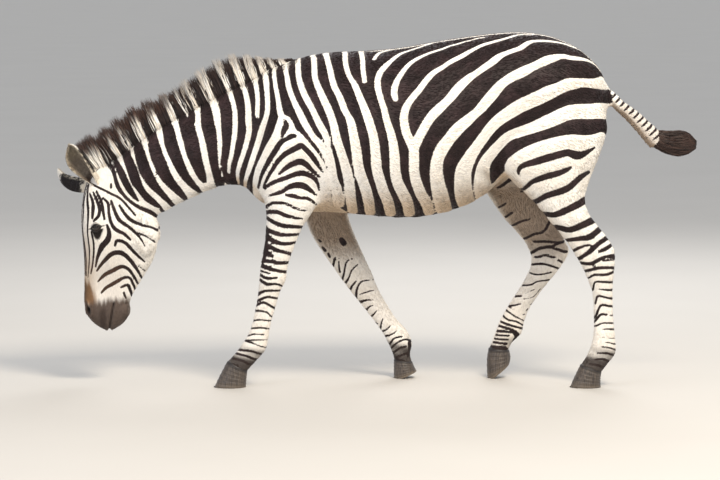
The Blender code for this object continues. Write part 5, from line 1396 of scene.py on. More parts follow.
def shell_faces(rings, count):
    """Quads of the outer sheet, the inner sheet turned round, and the rims that close them."""
    r, k = np.meshgrid(np.arange(rings - 1), np.arange(count - 1), indexing="ij")
    a = r * count + k
    sheet = np.stack([a, a + 1, a + count + 1, a + count], axis=-1).reshape(-1, 4)
    base = rings * count
    inner = sheet[:, ::-1] + base
    r = np.arange(rings - 1)
    low, high = r * count, r * count + count - 1
    rim_a = np.stack([low, low + count, low + count + base, low + base], axis=1)
    rim_b = np.stack([high, high + base, high + count + base, high + count], axis=1)
    k = np.arange(count - 1)
    end = (rings - 1) * count + k
    cap_a = np.stack([k, k + base, k + 1 + base, k + 1], axis=1)
    cap_b = np.stack([end, end + 1, end + 1 + base, end + base], axis=1)
    return np.concatenate([sheet, inner, rim_a, rim_b, cap_a, cap_b])


ears = {}
for name, place in EARS.items():
    outer, inner, share, axis = ear_grid(**place)
    count = outer.shape[:2]
    points = np.concatenate([outer.reshape(-1, 3), inner.reshape(-1, 3)])
    piece = mesh_piece(f"{name}_shell", points, facing_out(points, shell_faces(*count)))
    shares = np.tile(np.repeat(share, count[1]), 2)
    turns = np.tile(np.tile(np.linspace(0, 1, count[1]), count[0]), 2)
    inside = np.repeat([0.0, 1.0], count[0] * count[1])
    note(piece, "share", shares)
    note(piece, "inside", inside)
    note(piece, "edge", 1 - np.clip(np.minimum(turns, 1 - turns) * 6, 0, 1))
    ears[name] = (piece, outer, inner, axis)
print("ear faces:", [len(e[0].data.polygons) for e in ears.values()])

# %% [markdown]
# ## Hooves
# A hoof is a box of horn that grows down from the hair line in fine rings. Each is a smooth tube through the
# same sections as the frame's, with the rings as shallow waves and the sole flat on the floor.

# %% The hooves
HOOF_SIDES = 56
HOOVES = {
    "hoof_fore_left": (HOOF_FORE_PLANTED, LEFT),
    "hoof_fore_right": (HOOF_FORE_TRAILING, RIGHT),
    "hoof_hind_left": (HOOF_HIND_PLANTED, LEFT),
    "hoof_hind_right": (HOOF_HIND_LIFTING, RIGHT),
}
hoof_pieces = {}
for name, (rows, side) in HOOVES.items():
    smooth = smooth_rows(rows, 16)
    rings = section_rings(smooth, side, -0.0005, HOOF_SIDES)
    middle = rings.mean(axis=1, keepdims=True)
    down = np.linspace(0, 1, len(rings))[:, None]
    turn = np.arange(HOOF_SIDES)[None, :] / HOOF_SIDES * 2 * np.pi
    wave = 0.0005 * np.sin(down * 42 + 0.5 * np.sin(turn)) + 0.0004 * np.sin(down * 95 + 1)
    rings = rings + unit(rings - middle) * (wave * ease(0.0, 0.08, down))[..., None]
    # One more ring, drawn in, goes up under the hair
    collar = rings[:1] + (rings[:1] - rings[1:2]) * 2.5
    centre = collar.mean(axis=1, keepdims=True)
    collar = centre + (collar - centre) * 0.86
    rings = np.concatenate([collar, rings])
    rings[..., 2] = np.maximum(rings[..., 2], 0)
    piece = mesh_piece(f"{name}_horn", *tube(rings))
    note(piece, "down", np.append(np.repeat(np.linspace(0, 1, len(rings)), HOOF_SIDES), [0, 1]))
    hoof_pieces[name] = piece
print("hoof faces:", [len(h.data.polygons) for h in hoof_pieces.values()])

# %% [markdown]
# ## Mane and tail tuft
# The mane is a stiff brush: thousands of hairs stand up from the crest, and the neck's stripes run on into
# them. The tuft swings out behind. Hair curves would be lost in a part's export, so each lock is a thin
# three-sided spike carried along its own path. A core in the hair's own colours fills the middle.


# %% Spikes along paths
SPIKE_FLATNESS = 0.55  # height of a spike's section over its width


def spikes(paths, widths, facing):
    """Closed three-sided spikes: paths is (n, k, 3), widths (n, k) with the tip as the last point alone.
    Ring i is path + width * (across * cos a + normal * sin a * flatness), for three angles a."""
    ahead = unit(np.gradient(paths, axis=1))
    across = unit(np.cross(ahead, facing[:, None]))
    normal = np.cross(across, ahead)
    angle = np.arange(3) * 2 * np.pi / 3 + np.pi / 2
    ring = across[:, :, None] * np.cos(angle)[:, None]
    ring = ring + SPIKE_FLATNESS * normal[:, :, None] * np.sin(angle)[:, None]
    rings = paths[:, :, None] + ring * widths[:, :, None, None]
    n, k = paths.shape[:2]
    body = rings[:, :-1].reshape(n, -1, 3)
    points = np.concatenate([body, paths[:, -1:]], axis=1)
    r, c = np.meshgrid(np.arange(k - 2), np.arange(3), indexing="ij")
    a, b = r * 3 + c, r * 3 + (c + 1) % 3
    sheet = np.stack([a, b, b + 3, a, b + 3, a + 3], axis=-1).reshape(-1, 3)
    last, c = (k - 2) * 3, np.arange(3)
    tip = np.stack([last + c, last + (c + 1) % 3, np.full(3, (k - 1) * 3)], axis=1)
    one = np.concatenate([sheet, tip, [[2, 1, 0]]])
    faces = (one[None] + (np.arange(n) * points.shape[1])[:, None, None]).reshape(-1, 3)
    return points.reshape(-1, 3), faces


def spike_points(k):
    """Points of a spike whose path has k places: three in each ring, and the tip."""
    return 3 * (k - 1) + 1


def per_spike(values, k):
    """Repeats one number per spike for all its points."""
    return np.repeat(values, spike_points(k))


def along_spike(n, k):
    """0 at the root and 1 at the tip, for all the points of n spikes."""
    return np.tile(np.append(np.repeat(np.arange(k - 1), 3), k - 1) / (k - 1), n)


# %% The neck's stripes along the crest
MANE_ROW_STEPS, CORE_SIDES = 12, 16
mane_rows = smooth_rows(MANE, MANE_ROW_STEPS)
skin_points, skin_normals = points_of(skin), normals_of(skin)
edges = {}  # side: stripe field of each mane row, from the neck just beside the mane
for side in (LEFT, RIGHT):
    beside = np.abs(skin_points[:, 1] - side * 0.028) < 0.010
    beside = np.flatnonzero(beside & (skin_normals[:, 2] > 0) & (skin_points[:, 0] < -0.20))
    gap = np.linalg.norm(mane_rows[:, None, 2:4] - skin_points[beside][None, :, [0, 2]], axis=2)
    near = beside[gap.argmin(axis=1)]
    edges[side] = darkness(skin_points[near], skin_normals[near])
print("stripe edges along the crest:", [int((np.diff(v > 0)).sum()) for v in edges.values()])


def mane_values(place, y):
    """Stripe field at a place along the crest, and how far along the crest its stripe's middle is, in rows:
    the field grows by one row's length for each row walked in from the stripe's edge."""
    field, inward = np.zeros(len(place)), np.zeros(len(place))
    step = np.linalg.norm(np.diff(mane_rows[:, 2:4], axis=0), axis=1).mean()
    for side, values in edges.items():
        here = np.sign(y + 1e-9) == side
        depth = np.abs(values)
        peak = np.max([np.roll(depth, k) for k in range(-4, 5)], axis=0)
        away = np.clip((peak - depth) / step, 0, 4) * np.sign(np.gradient(depth))
        rows = np.arange(len(values))
        field[here] = np.interp(place[here], rows, values)
        inward[here] = np.interp(place[here], rows, away)
    return field, inward


# %% The mane
MANE_SPIKES, MANE_STEPS = 7600, 5
MANE_TAPER = np.array([1.0, 1.05, 0.9, 0.6, 0.1])
MANE_THICK, PALE_THICKER = 0.00115, 0.0004
DARK_GATHERS, PALE_FLARES = 0.15, -0.35  # how far the tips lean towards the middle of their stripe
MANE_SWEEP = 4.5  # rows by which the tips lean forward
DARK_SHORTER = 0.10
place = (np.arange(MANE_SPIKES) + rng.random(MANE_SPIKES)) / MANE_SPIKES * (len(mane_rows) - 1.001)
low = place.astype(int)
row = mane_rows[low] + (mane_rows[low + 1] - mane_rows[low]) * (place - low)[:, None]
spread = np.clip(rng.normal(0, 0.6, MANE_SPIKES), -1, 1)
upper, lower = row[:, 0:2], row[:, 2:4]
mane_stripe, inward = mane_values(place, spread)
gather = np.where(mane_stripe > 0, DARK_GATHERS, PALE_FLARES) * (0.5 + rng.random(MANE_SPIKES))
swept = MANE_SWEEP * ease(4, 40, place)
tip_place = place - swept + gather * inward + rng.normal(0, 0.8, MANE_SPIKES)
tip_place = np.clip(tip_place, 0, len(mane_rows) - 1.001)
tip_low = tip_place.astype(int)
tip_row = mane_rows[tip_low] + (mane_rows[tip_low + 1] - mane_rows[tip_low]) * (tip_place - tip_low)[:, None]
ragged = 0.99 - DARK_SHORTER * (mane_stripe > 0) - 0.36 * rng.random(MANE_SPIKES) ** 1.5
ragged *= 1 - 0.08 * spread**2
root = lower + (upper - lower) * rng.uniform(-0.10, 0.10, (MANE_SPIKES, 1))
tip = root + (tip_row[:, 0:2] - root) * ragged[:, None]
sideways = unit(np.column_stack([-(upper - lower)[:, 1], (upper - lower)[:, 0]]))
t = np.linspace(0, 1, MANE_STEPS)
bow = rng.normal(0, 0.004, MANE_SPIKES)[:, None] * np.sin(np.pi * t)
flat = root[:, None] + (tip - root)[:, None] * t[:, None] + sideways[:, None] * bow[..., None]
y = spread[:, None] * row[:, 4:5] * (1.0 - 0.45 * t) + (rng.uniform(-1, 1, MANE_SPIKES) * 0.004)[:, None] * t
paths = np.stack([flat[..., 0], y, flat[..., 1]], axis=2)
thick = MANE_THICK + PALE_THICKER * (mane_stripe < 0)
widths = (thick * (1 + 0.5 * rng.random(MANE_SPIKES)))[:, None] * MANE_TAPER
facing = np.tile([0.0, 1.0, 0.0], (MANE_SPIKES, 1))
mane = mesh_piece("mane_hair", *spikes(paths, widths, facing))
note(mane, "stripe", per_spike(mane_stripe * 1000 + rng.normal(0, 1.3, MANE_SPIKES), MANE_STEPS))
note(mane, "along", along_spike(MANE_SPIKES, MANE_STEPS))
note(mane, "front", per_spike(ease(-0.60, -0.80, root[:, 0]), MANE_STEPS))
note(mane, "shade", per_spike(rng.random(MANE_SPIKES), MANE_STEPS))

core_rows = smooth_rows(MANE, MANE_ROW_STEPS)
core_rows[:, 0:2] = core_rows[:, 2:4] + (core_rows[:, 0:2] - core_rows[:, 2:4]) * 0.62
core_rows[:, 4] *= 0.8
core = mesh_piece("mane_core", *tube(section_rings(core_rows, 1, 0.0, CORE_SIDES)))
core_points = points_of(core)
core_place = np.repeat(np.arange(len(core_rows)), CORE_SIDES)
core_place = np.append(core_place, [0, len(core_rows) - 1]).astype(float)
note(core, "stripe", mane_values(core_place, core_points[:, 1])[0] * 1000)
note(core, "along", np.full(len(core_points), 0.35))
note(core, "front", ease(-0.60, -0.80, core_points[:, 0]))
note(core, "shade", np.full(len(core_points), 0.2))
print("mane faces:", len(mane.data.polygons))

# %% The tail tuft
TAIL_SPIKES, TAIL_STEPS = 4200, 7
TAIL_TAPER = np.array([0.7, 1.0, 1.0, 0.95, 0.8, 0.55, 0.1])
TUFT_CORE_ROWS = 19
tail_rows = smooth_rows(TAIL_TUFT, 10)
first = rng.random(TAIL_SPIKES) ** 1.2 * 0.70
length = np.clip(0.30 + 0.30 * rng.random(TAIL_SPIKES), 0, 1 - first)
length = np.where(first > 0.42, 1 - first, length) * (1 - 0.45 * rng.random(TAIL_SPIKES) ** 1.6)
angle = rng.random(TAIL_SPIKES) * 2 * np.pi
radius = np.sqrt(rng.random(TAIL_SPIKES)) * 0.90
t = np.linspace(0, 1, TAIL_STEPS)
where = (first[:, None] + length[:, None] * t) * (len(tail_rows) - 1.001)
low = where.astype(int)
row = tail_rows[low] + (tail_rows[low + 1] - tail_rows[low]) * (where - low)[..., None]
clump = np.floor(angle * 3.5) + 10 * np.floor(first * 8)
narrow = 1 - 0.62 * ease(0.55, 1.0, where / len(tail_rows))
open_out = (radius[:, None] * (0.55 + 0.60 * t - 0.35 * t**2) * narrow).clip(0, 0.97)
swirl = angle[:, None] + 0.25 * np.sin(clump)[:, None] * t
half = (row[..., 0:2] - row[..., 2:4]) / 2
centre = (row[..., 0:2] + row[..., 2:4]) / 2
flat = centre + half * (open_out * np.sin(swirl))[..., None]
y = row[..., 4] * open_out * np.cos(swirl)
paths = np.stack([flat[..., 0], y, flat[..., 1]], axis=2)
widths = 0.0013 * (1 + 0.6 * rng.random(TAIL_SPIKES))[:, None] * TAIL_TAPER
out = unit(np.column_stack([np.zeros(TAIL_SPIKES), np.cos(angle), np.sin(angle) * 0.5]) + 1e-6)
tuft = mesh_piece("tail_tuft_hair", *spikes(paths, widths, out))
note(tuft, "along", along_spike(TAIL_SPIKES, TAIL_STEPS))
note(tuft, "shade", per_spike(rng.random(TAIL_SPIKES), TAIL_STEPS))
core_rows = smooth_rows(TAIL_TUFT, STATION_STEPS)[:TUFT_CORE_ROWS]
slim = 0.62 * np.sqrt(np.linspace(1, 0.02, TUFT_CORE_ROWS))[:, None]
spots = (core_rows[:, 0:2] + core_rows[:, 2:4]) / 2
for a, b in ((0, 1), (2, 3)):
    core_rows[:, [a, b]] = spots + (core_rows[:, [a, b]] - spots) * slim
core_rows[:, 4] *= slim[:, 0]
tuft_core = mesh_piece("tail_tuft_core", *tube(section_rings(core_rows, 1, 0.0, 20)))
for name in ("along", "shade"):
    note(tuft_core, name, np.full(len(tuft_core.data.vertices), 0.15))
print("tail faces:", len(tuft.data.polygons))

# %% [markdown]
# ## The coat's markings on the skin
# The skin keeps the stripe field and the other tints as numbers on its points. A material turns the
# field into colour, so the edge of a stripe stays sharp between two points that are 10 mm apart.

# %% Mark the skin
points, normals = points_of(skin), normals_of(skin)
skin_dark = darkness(points, normals)
note(skin, "stripe", skin_dark * 1000)
for name, values in tints(points, normals).items():
    note(skin, name, values)
# the nostril's painted shade
note(skin, "nostril", nostril_hollow_shade)
# The mouth crease's painted shade joins the dark of the bare skin
bare = np.maximum(bare, mouth_crease_shade)
note(skin, "bare", bare)
note(skin, "shade", np.full(len(points), 0.5))
print("dark share of the skin: %.2f" % (skin_dark > 0).mean())

# %% [markdown]
# ## The lie of the coat
# Hair lies from the forehead down to the nose, from the poll back over neck and ribs to the rump, and
# down the legs. Each tuft needs that direction at its root, laid into the surface.


# %% Where a point belongs, and which way its hair lies
TUBE_ORDER = tuple(TUBES)
IN_TRUNK, IN_NECK, IN_HEAD, IN_DOCK, FORE_LEFT, FORE_RIGHT, HIND_LEFT, HIND_RIGHT = range(len(TUBE_ORDER))
NECK_CUT = ((-0.414, 0.944), (0.925, -0.380))
HEAD_CUT = ((-0.902, 0.722), (0.662, 0.750))
THIGH_CUT = ((0.598, 0.712), (-0.330, 0.944))
FORELEG_TOP = 0.6155


def zone_of(points):
    """Number of the tube that each point belongs to, told by planes across the joints."""
    x, y, z = points.T
    zone = np.full(len(points), IN_TRUNK)
    zone[(side_of_cut(points, *NECK_CUT) < 0) & (z > FORELEG_TOP)] = IN_NECK
    zone[(side_of_cut(points, *HEAD_CUT) < 0) & (x < -0.72)] = IN_HEAD
    zone[side_of_cut(points, *DOCK_CUT) > 0] = IN_DOCK
    fore = (z < FORELEG_TOP) & (x < 0.25) & (x > -0.72)
    rear = (side_of_cut(points, *THIGH_CUT) < 0) & (x > 0.25) & (zone != IN_DOCK)
    zone[fore & (y < 0)], zone[fore & (y >= 0)] = FORE_LEFT, FORE_RIGHT
    zone[rear & (y < 0)], zone[rear & (y >= 0)] = HIND_LEFT, HIND_RIGHT
    return zone


def along_tube(points, rows, side):
    """Share along the tube, turn round it from 0 to 1 and the tube's direction, from the nearest piece of its
    middle line."""
    r = smooth_rows(rows, 3)
    middle, upper, _, offset = frames_along(r, side)
    a, edge = middle[:-1], np.diff(middle, axis=0)
    share, step = off_segments(points[:, [0, 2]], a, edge)
    best = np.linalg.norm(step, axis=2).argmin(axis=1)
    pick = np.arange(len(points))
    t = best + share[pick, best]
    spot = a[best] + share[pick, best, None] * edge[best]
    height = ((points[:, [0, 2]] - spot) * upper[best]).sum(axis=1)
    turn = np.arctan2(points[:, 1] - offset[best], height) / (2 * np.pi) + 0.5
    return t / (len(r) - 1), turn, unit(edge)[best]


SHEET_PLACES = {  # where each tube is laid out on the unit square: left, low, width, height
    "trunk": (0.01, 0.01, 0.48, 0.48),
    "neck": (0.51, 0.01, 0.48, 0.23),
    "head": (0.51, 0.26, 0.48, 0.23),
    "dock": (0.01, 0.88, 0.20, 0.11),
    "foreleg_left": (0.01, 0.51, 0.23, 0.35),
    "foreleg_right": (0.26, 0.51, 0.23, 0.35),
    "hindleg_left": (0.51, 0.51, 0.23, 0.35),
    "hindleg_right": (0.76, 0.51, 0.23, 0.35),
    "ear_left": (0.26, 0.88, 0.20, 0.11),
    "ear_right": (0.51, 0.88, 0.20, 0.11),
}


def lie_and_sheet(points, normals):
    """Direction of the hair laid into the surface, the place of each point on the laid-out sheet, and the
    number of its tube."""
    zone = zone_of(points)
    lie = np.zeros((len(points), 3))
    sheet = np.zeros((len(points), 2))
    for i, name in enumerate(TUBE_ORDER):
        chosen = np.flatnonzero(zone == i)
        if not len(chosen):
            continue
        rows, side = TUBES[name]
        share, turn, ahead = along_tube(points[chosen], rows, side)
        left, low, width, height = SHEET_PLACES[name]
        sheet[chosen] = np.column_stack([left + turn * width, low + share * height])
        lie[chosen] = np.column_stack([ahead[:, 0], np.zeros(len(chosen)), ahead[:, 1]])
    x, _, z = points.T
    # Turned so that it lies back on trunk and neck, and down on head and legs
    level = zone <= IN_NECK
    lie[level & (lie[:, 0] < 0)] *= -1
    lie[~level & (zone != IN_DOCK) & (lie[:, 2] > 0)] *= -1
    sag = np.where(level, 0.35 * ease(0.0, 0.9, 1 - np.abs(normals[:, 2])), 0)
    hip = ease(0.95, 0.60, z) * (zone == IN_TRUNK) * ((x > 0.45) | (x < -0.2))
    lie[:, 2] -= sag + 1.4 * hip
    lie = lie - normals * (lie * normals).sum(axis=1)[:, None]
    return unit(lie), sheet, zone


# %% [markdown]
# ## Tufts
# Short hair that lies flat is mostly a matter of bump, but tufts break up the outline and the edges of the
# stripes. Each tuft is a flat spike of ten triangles. Its root is in the skin and its tip a little above it.
# It takes the stripe field at its root, so skin and coat carry the same markings.

# %% Scatter the roots evenly over the skin
TUFTS, TUFT_STEPS = 104000, 3
EAR_KEPT_CLEAR = 0.018  # no tufts of the head grow this close to an ear's middle line


def scattered(obj, count, density):
    """Even random places on a mesh: face i gets a share of the count like its area times its density, and a
    step through the sum of the shares by equal amounts picks the faces."""
    mesh = obj.data
    mesh.calc_loop_triangles()
    tri = np.empty(len(mesh.loop_triangles) * 3, np.int32)
    mesh.loop_triangles.foreach_get("vertices", tri)
    tri = tri.reshape(-1, 3)
    p, n = points_of(obj), normals_of(obj)
    a, b, c = (p[tri[:, i]] for i in range(3))
    area = np.linalg.norm(np.cross(b - a, c - a), axis=1) / 2 * density((a + b + c) / 3)
    total = np.cumsum(area)
    picked = np.searchsorted(total, (np.arange(count) + rng.random(count)) / count * total[-1])
    picked = np.minimum(picked, len(tri) - 1)
    u, v = rng.random((2, count))
    flip = u + v > 1
    u, v = np.where(flip, 1 - u, u), np.where(flip, 1 - v, v)
    w = np.stack([1 - u - v, u, v], axis=1)[..., None]
    corner = tri[picked]
    return (p[corner] * w).sum(axis=1), unit((n[corner] * w).sum(axis=1)), corner, w[..., 0]


def hair_density(p):
    """Tufts are about twice as dense on the head and the lower legs, where they are shorter."""
    return 1 + 1.3 * ease(-0.78, -0.86, p[:, 0]) + 0.8 * ease(0.60, 0.40, p[:, 2])


def from_skin(values):
    """The skin's numbers at the roots of the tufts: the mean of a face's three corners, by weight."""
    return (values[corner] * weight).sum(axis=1)


root, normal, corner, weight = scattered(skin, TUFTS, hair_density)
keep = (from_skin(nostril_hollow_shade) < 0.05) & (from_skin(mouth_crease_shade) < 0.5)
for side in (LEFT, RIGHT):
    along, across, distance, _, _ = eye_angles(root, side)
    keep &= ~((distance < 0.028) & (outside_opening(along, across) < 0.0045))
for name, place in EARS.items():
    tip, start = np.array(place["tip"]), np.array(place["root"])
    reach = np.clip(((root - start) @ (tip - start)) / ((tip - start) @ (tip - start)), 0, 1)
    keep &= np.linalg.norm(root - start - reach[:, None] * (tip - start), axis=1) > EAR_KEPT_CLEAR
root, normal, corner, weight = root[keep], normal[keep], corner[keep], weight[keep]
lie, sheet, zone = lie_and_sheet(root, normal)
print("tufts:", len(root), "by zone:", np.bincount(zone).tolist())


# %% Grow the tufts
def grow(root, normal, lie, length, width, rise):
    """Paths of three points: sunk root, middle, tip raised by rise times the length."""
    across = np.cross(normal, lie)
    swing = rng.normal(0, 0.16, len(root))[:, None]
    ahead = unit(lie + across * swing)
    start = root - normal * 0.0009 - ahead * 0.0008
    middle = root + ahead * (0.5 * length)[:, None] + normal * (0.62 * rise * length + 0.0003)[:, None]
    tip = root + ahead * length[:, None] + normal * (rise * length)[:, None]
    paths = np.stack([start, middle, tip], axis=1)
    widths = width[:, None] * np.array([0.85, 1.0, 0.1])
    return spikes(paths, widths, normal)


PATCH = 0.003


def patches(k, sheet):
    """OFBake places of spikes whose paths have k places: each is a patch 0.003 across at its root's place."""
    t = np.append(np.repeat(np.arange(k - 1), 3), k - 1) * 3 / (spike_points(k) - 1)
    c = np.append(np.tile([0.0, 0.5, 1.0], k - 1), 0.5)
    small = np.column_stack([c - 0.5, t - 0.5]) * PATCH
    return (np.asarray(sheet)[:, None] + small).reshape(-1, 2)


def lay_out(obj, places):
    """Writes a UV map named OFBake from one place per point."""
    layer = obj.data.uv_layers.new(name="OFBake")
    loops = np.empty(len(obj.data.loops), np.int32)
    obj.data.loops.foreach_get("vertex_index", loops)
    layer.data.foreach_set("uv", places[loops].astype(np.float32).ravel())


BODY_HAIR, FACE_SHORTER, LEG_SHORTER, BELLY_LONGER = 0.0160, 0.0085, 0.0055, 0.004
TUFT_WIDTH, FACE_THINNER, LEG_THINNER = 0.00120, 0.0005, 0.00035
MANE_FOOT_HAIR = 0.022
x, y, z = root.T
on_face = ease(-0.86, -0.93, x)
low_leg = ease(0.62, 0.36, z)
belly = ease(-0.3, -0.85, normal[:, 2]) * (z > 0.55)
length = BODY_HAIR - FACE_SHORTER * on_face - LEG_SHORTER * low_leg * (1 - on_face) + BELLY_LONGER * belly
length *= rng.uniform(0.75, 1.2, len(root))
root_dark = from_skin(skin_dark)
length = np.minimum(length, 0.0034 + 0.9 * np.abs(root_dark))  # short beside an edge, so that it stays crisp
# Under the mane the coat turns up into it
crest = mane_rows[:, 2:4]
beside = np.flatnonzero((zone <= IN_NECK) & (x < -0.15) & (normal[:, 2] > 0.1))
gap = np.linalg.norm(root[beside][:, None, [0, 2]] - crest, axis=2)
line = gap.argmin(axis=1)
up_hair = ease(0.020, 0.006, gap.min(axis=1))[:, None]
ahead = unit(mane_rows[line, 0:2] - crest[line])
rising = np.column_stack([ahead[:, 0], np.zeros(len(line)), ahead[:, 1]])
rising -= normal[beside] * (rising * normal[beside]).sum(axis=1)[:, None]
lie[beside] = unit(lie[beside] * (1 - up_hair) + unit(rising) * up_hair)
longer = MANE_FOOT_HAIR * up_hair[:, 0] * rng.uniform(0.7, 1.1, len(line))
length[beside] = np.maximum(length[beside], longer)
width = TUFT_WIDTH - FACE_THINNER * on_face - LEG_THINNER * low_leg
width *= rng.uniform(0.8, 1.25, len(root))
rise = 0.085 + 0.05 * rng.random(len(root)) + 0.05 * belly
coat_values = {"stripe": root_dark * 1000 + rng.normal(0, 0.2, len(root))}
for name, values in tints(root, normal).items():
    coat_values[name] = values
coat_values["bare"] = from_skin(bare)
coat_values["shade"] = rng.random(len(root))
RUMP_FROM = 0.35
COAT_PARTS = {
    "coat_trunk_left": (zone == IN_TRUNK) & (y < 0) & (x < RUMP_FROM),
    "coat_trunk_right": (zone == IN_TRUNK) & (y >= 0) & (x < RUMP_FROM),
    "coat_rump_left": (zone == IN_TRUNK) & (y < 0) & (x >= RUMP_FROM),
    "coat_rump_right": (zone == IN_TRUNK) & (y >= 0) & (x >= RUMP_FROM),
    "coat_neck": zone == IN_NECK,
    "coat_head": zone == IN_HEAD,
    "coat_forelegs": (zone == FORE_LEFT) | (zone == FORE_RIGHT),
    "coat_hindlegs": (zone == HIND_LEFT) | (zone == HIND_RIGHT) | (zone == IN_DOCK),
}
coat_pieces = []
for name, chosen in COAT_PARTS.items():
    made = grow(root[chosen], normal[chosen], lie[chosen], length[chosen], width[chosen], rise[chosen])
    piece = mesh_piece(name, *made)
    for key, values in coat_values.items():
        note(piece, key, per_spike(values[chosen], TUFT_STEPS))
    lay_out(piece, patches(TUFT_STEPS, sheet[chosen]))
    coat_pieces.append(piece)
    print(name, chosen.sum(), "tufts,", len(piece.data.polygons), "faces")

# %% Hair inside and outside the ears
EAR_COATS = (  # side of the shell, number of hairs, their length, 1 in the hollow
    (1, 3600, 0.0080, 0.0),
    (-1, 2000, 0.0150, 1.0),
)
ear_hair = []
for name, (piece, outer, inner, axis) in ears.items():
    left, low, width_uv, height_uv = SHEET_PLACES[name]
    rows_n, cols_n = outer.shape[:2]
    roots, outs, lies, lengths, at, insides = [], [], [], [], [], []
    for grid, (sign, count, long, inward) in zip((outer, inner), EAR_COATS):
        r = rng.uniform(0.20, 0.985, count) * (rows_n - 1.001)
        c = rng.random(count) * (cols_n - 1.001)
        i, j = r.astype(int), c.astype(int)
        fr, fc = (r - i)[:, None], (c - j)[:, None]
        spot = (grid[i, j] * (1 - fc) + grid[i, j + 1] * fc) * (1 - fr)
        spot = spot + (grid[i + 1, j] * (1 - fc) + grid[i + 1, j + 1] * fc) * fr
        up = unit(grid[i + 1, j] - grid[i, j])
        round_it = unit(grid[i, j + 1] - grid[i, j])
        out = unit(np.cross(round_it, up))
        centre = outer.mean(axis=1)[i]
        out = out * np.sign((out * (spot - centre)).sum(axis=1))[:, None] * sign
        roots.append(spot)
        outs.append(out)
        lies.append(unit(up + (out * 0.35 if inward else 0)))
        shorter = ease(1.02, 0.85, r / rows_n).clip(0.4)  # towards the tip
        lengths.append(np.full(count, long) * rng.uniform(0.7, 1.2, count) * shorter)
        at.append(np.column_stack([left + c / cols_n * width_uv, low + r / rows_n * height_uv]))
        insides.append(np.full(count, inward))
    r_, o_, l_, n_ = (np.concatenate(v) for v in (roots, outs, lies, lengths))
    made = grow(r_, o_, l_, n_, np.full(len(r_), 0.0008), np.full(len(r_), 0.10))
    hair = mesh_piece(f"{name}_hair", *made)
    axis_share = np.clip(((r_ - np.array(EARS[name]["root"])) @ axis) / 0.20, 0, 1)
    note(hair, "share", per_spike(axis_share, TUFT_STEPS))
    note(hair, "inside", per_spike(np.concatenate(insides), TUFT_STEPS))
    note(hair, "edge", per_spike(np.zeros(len(r_)), TUFT_STEPS))
    lay_out(hair, patches(TUFT_STEPS, np.concatenate(at)))
    ear_hair.append(hair)
print("ear hair faces:", [len(h.data.polygons) for h in ear_hair])

# %% Lay the mane and tuft hairs out too
mane_spot = points_of(mane)[:: spike_points(MANE_STEPS)][:, 0] + 1.2
mane_sheet = np.column_stack([0.74 + 0.22 * mane_spot.clip(0, 1), 0.89 + 0.09 * rng.random(MANE_SPIKES)])
lay_out(mane, patches(MANE_STEPS, mane_sheet))
tuft_sheet = np.column_stack([0.01 + 0.20 * rng.random(TAIL_SPIKES), 0.88 + 0.11 * first])
lay_out(tuft, patches(TAIL_STEPS, tuft_sheet))
print("pieces laid out:", len(coat_pieces) + len(ear_hair) + 2)

# %% [markdown]
# ## Materials
# Each material is a small graph of nodes. One helper adds a node with its settings and links, and another
# starts a material with the numbers that are the same all over it. Patterns read Object coordinates in
# metres, so a noise scale of 400 makes features about 2.5 mm across.


# %% Helpers for shader graphs
def add(tree, kind, inputs=None, give=0, **settings):
    """Adds a node, sets its properties, fills each socket with a value or a link, and returns one output."""
    made = tree.nodes.new("ShaderNode" + kind)
    for name, value in settings.items():
        setattr(made, name, value)
    for socket, value in (inputs or {}).items():
        if isinstance(value, bpy.types.NodeSocket):
            tree.links.new(value, made.inputs[socket])
        else:
            made.inputs[socket].default_value = value
    return made.outputs[give]


def start_material(name, **constants):
    """A material with one Principled shader, whose constant sockets are set directly."""
    material = bpy.data.materials.new(name)
    material.use_nodes = True
    shader = material.node_tree.nodes["Principled BSDF"]
    for socket, value in constants.items():
        shader.inputs[socket.replace("_", " ")].default_value = value
    return material, material.node_tree, shader


def rgba(hex_colour):
    return (*linear(hex_colour), 1.0)


COLOUR = {"give": 2, "data_type": "RGBA"}  # a Mix node that mixes colours: sockets 0 factor, 6 and 7 colours

# %% [markdown]
# ## Zebra coat
# A live coat is short coarse hair, combed flat by the animal's own rubbing and licking, and dusted by the
# ground it rolls on. That gives the eye a soft satin with fine streaks along the hair. Light hair is warm
# white and cream under the belly; the belly's underside, the legs' inner faces and the tail's underside also
# get painted shade. Dark hair is black-brown, browner in random patches where the sun has worn it, and those
# patches also serve as painted sheen. The stripe field, in millimetres, is shifted by two noises before it is
# cut, so an edge is ragged as hair is.

# %% The coat material
LIGHT_HAIR, DARK_HAIR, WORN_AND_SHEEN_DARK, DUST = "#FBF6EE", "#221515", "#443132", "#CDB795"
TINTS = {  # mark on the mesh: colour, and the share of it where the mark is 1
    # cream: the belly hair's cream and dust on the lower legs, with painted shade under the belly
    "cream": ("#CDB18E", 0.92),
    # inner: painted shade on the legs' inner faces and under the tail, and the tail's own grey tone
    "inner": ("#8F7A66", 0.90),
}
COVERS = {  # these lie over both kinds of hair
    "tan": "#7E5C3C",
    "muzzle": "#57483F",
    "soot": "#2E221E",
    "bare": "#1E1613",
    # nostril: painted shade in the nostril's hollow
    "nostril": "#0C0808",
}


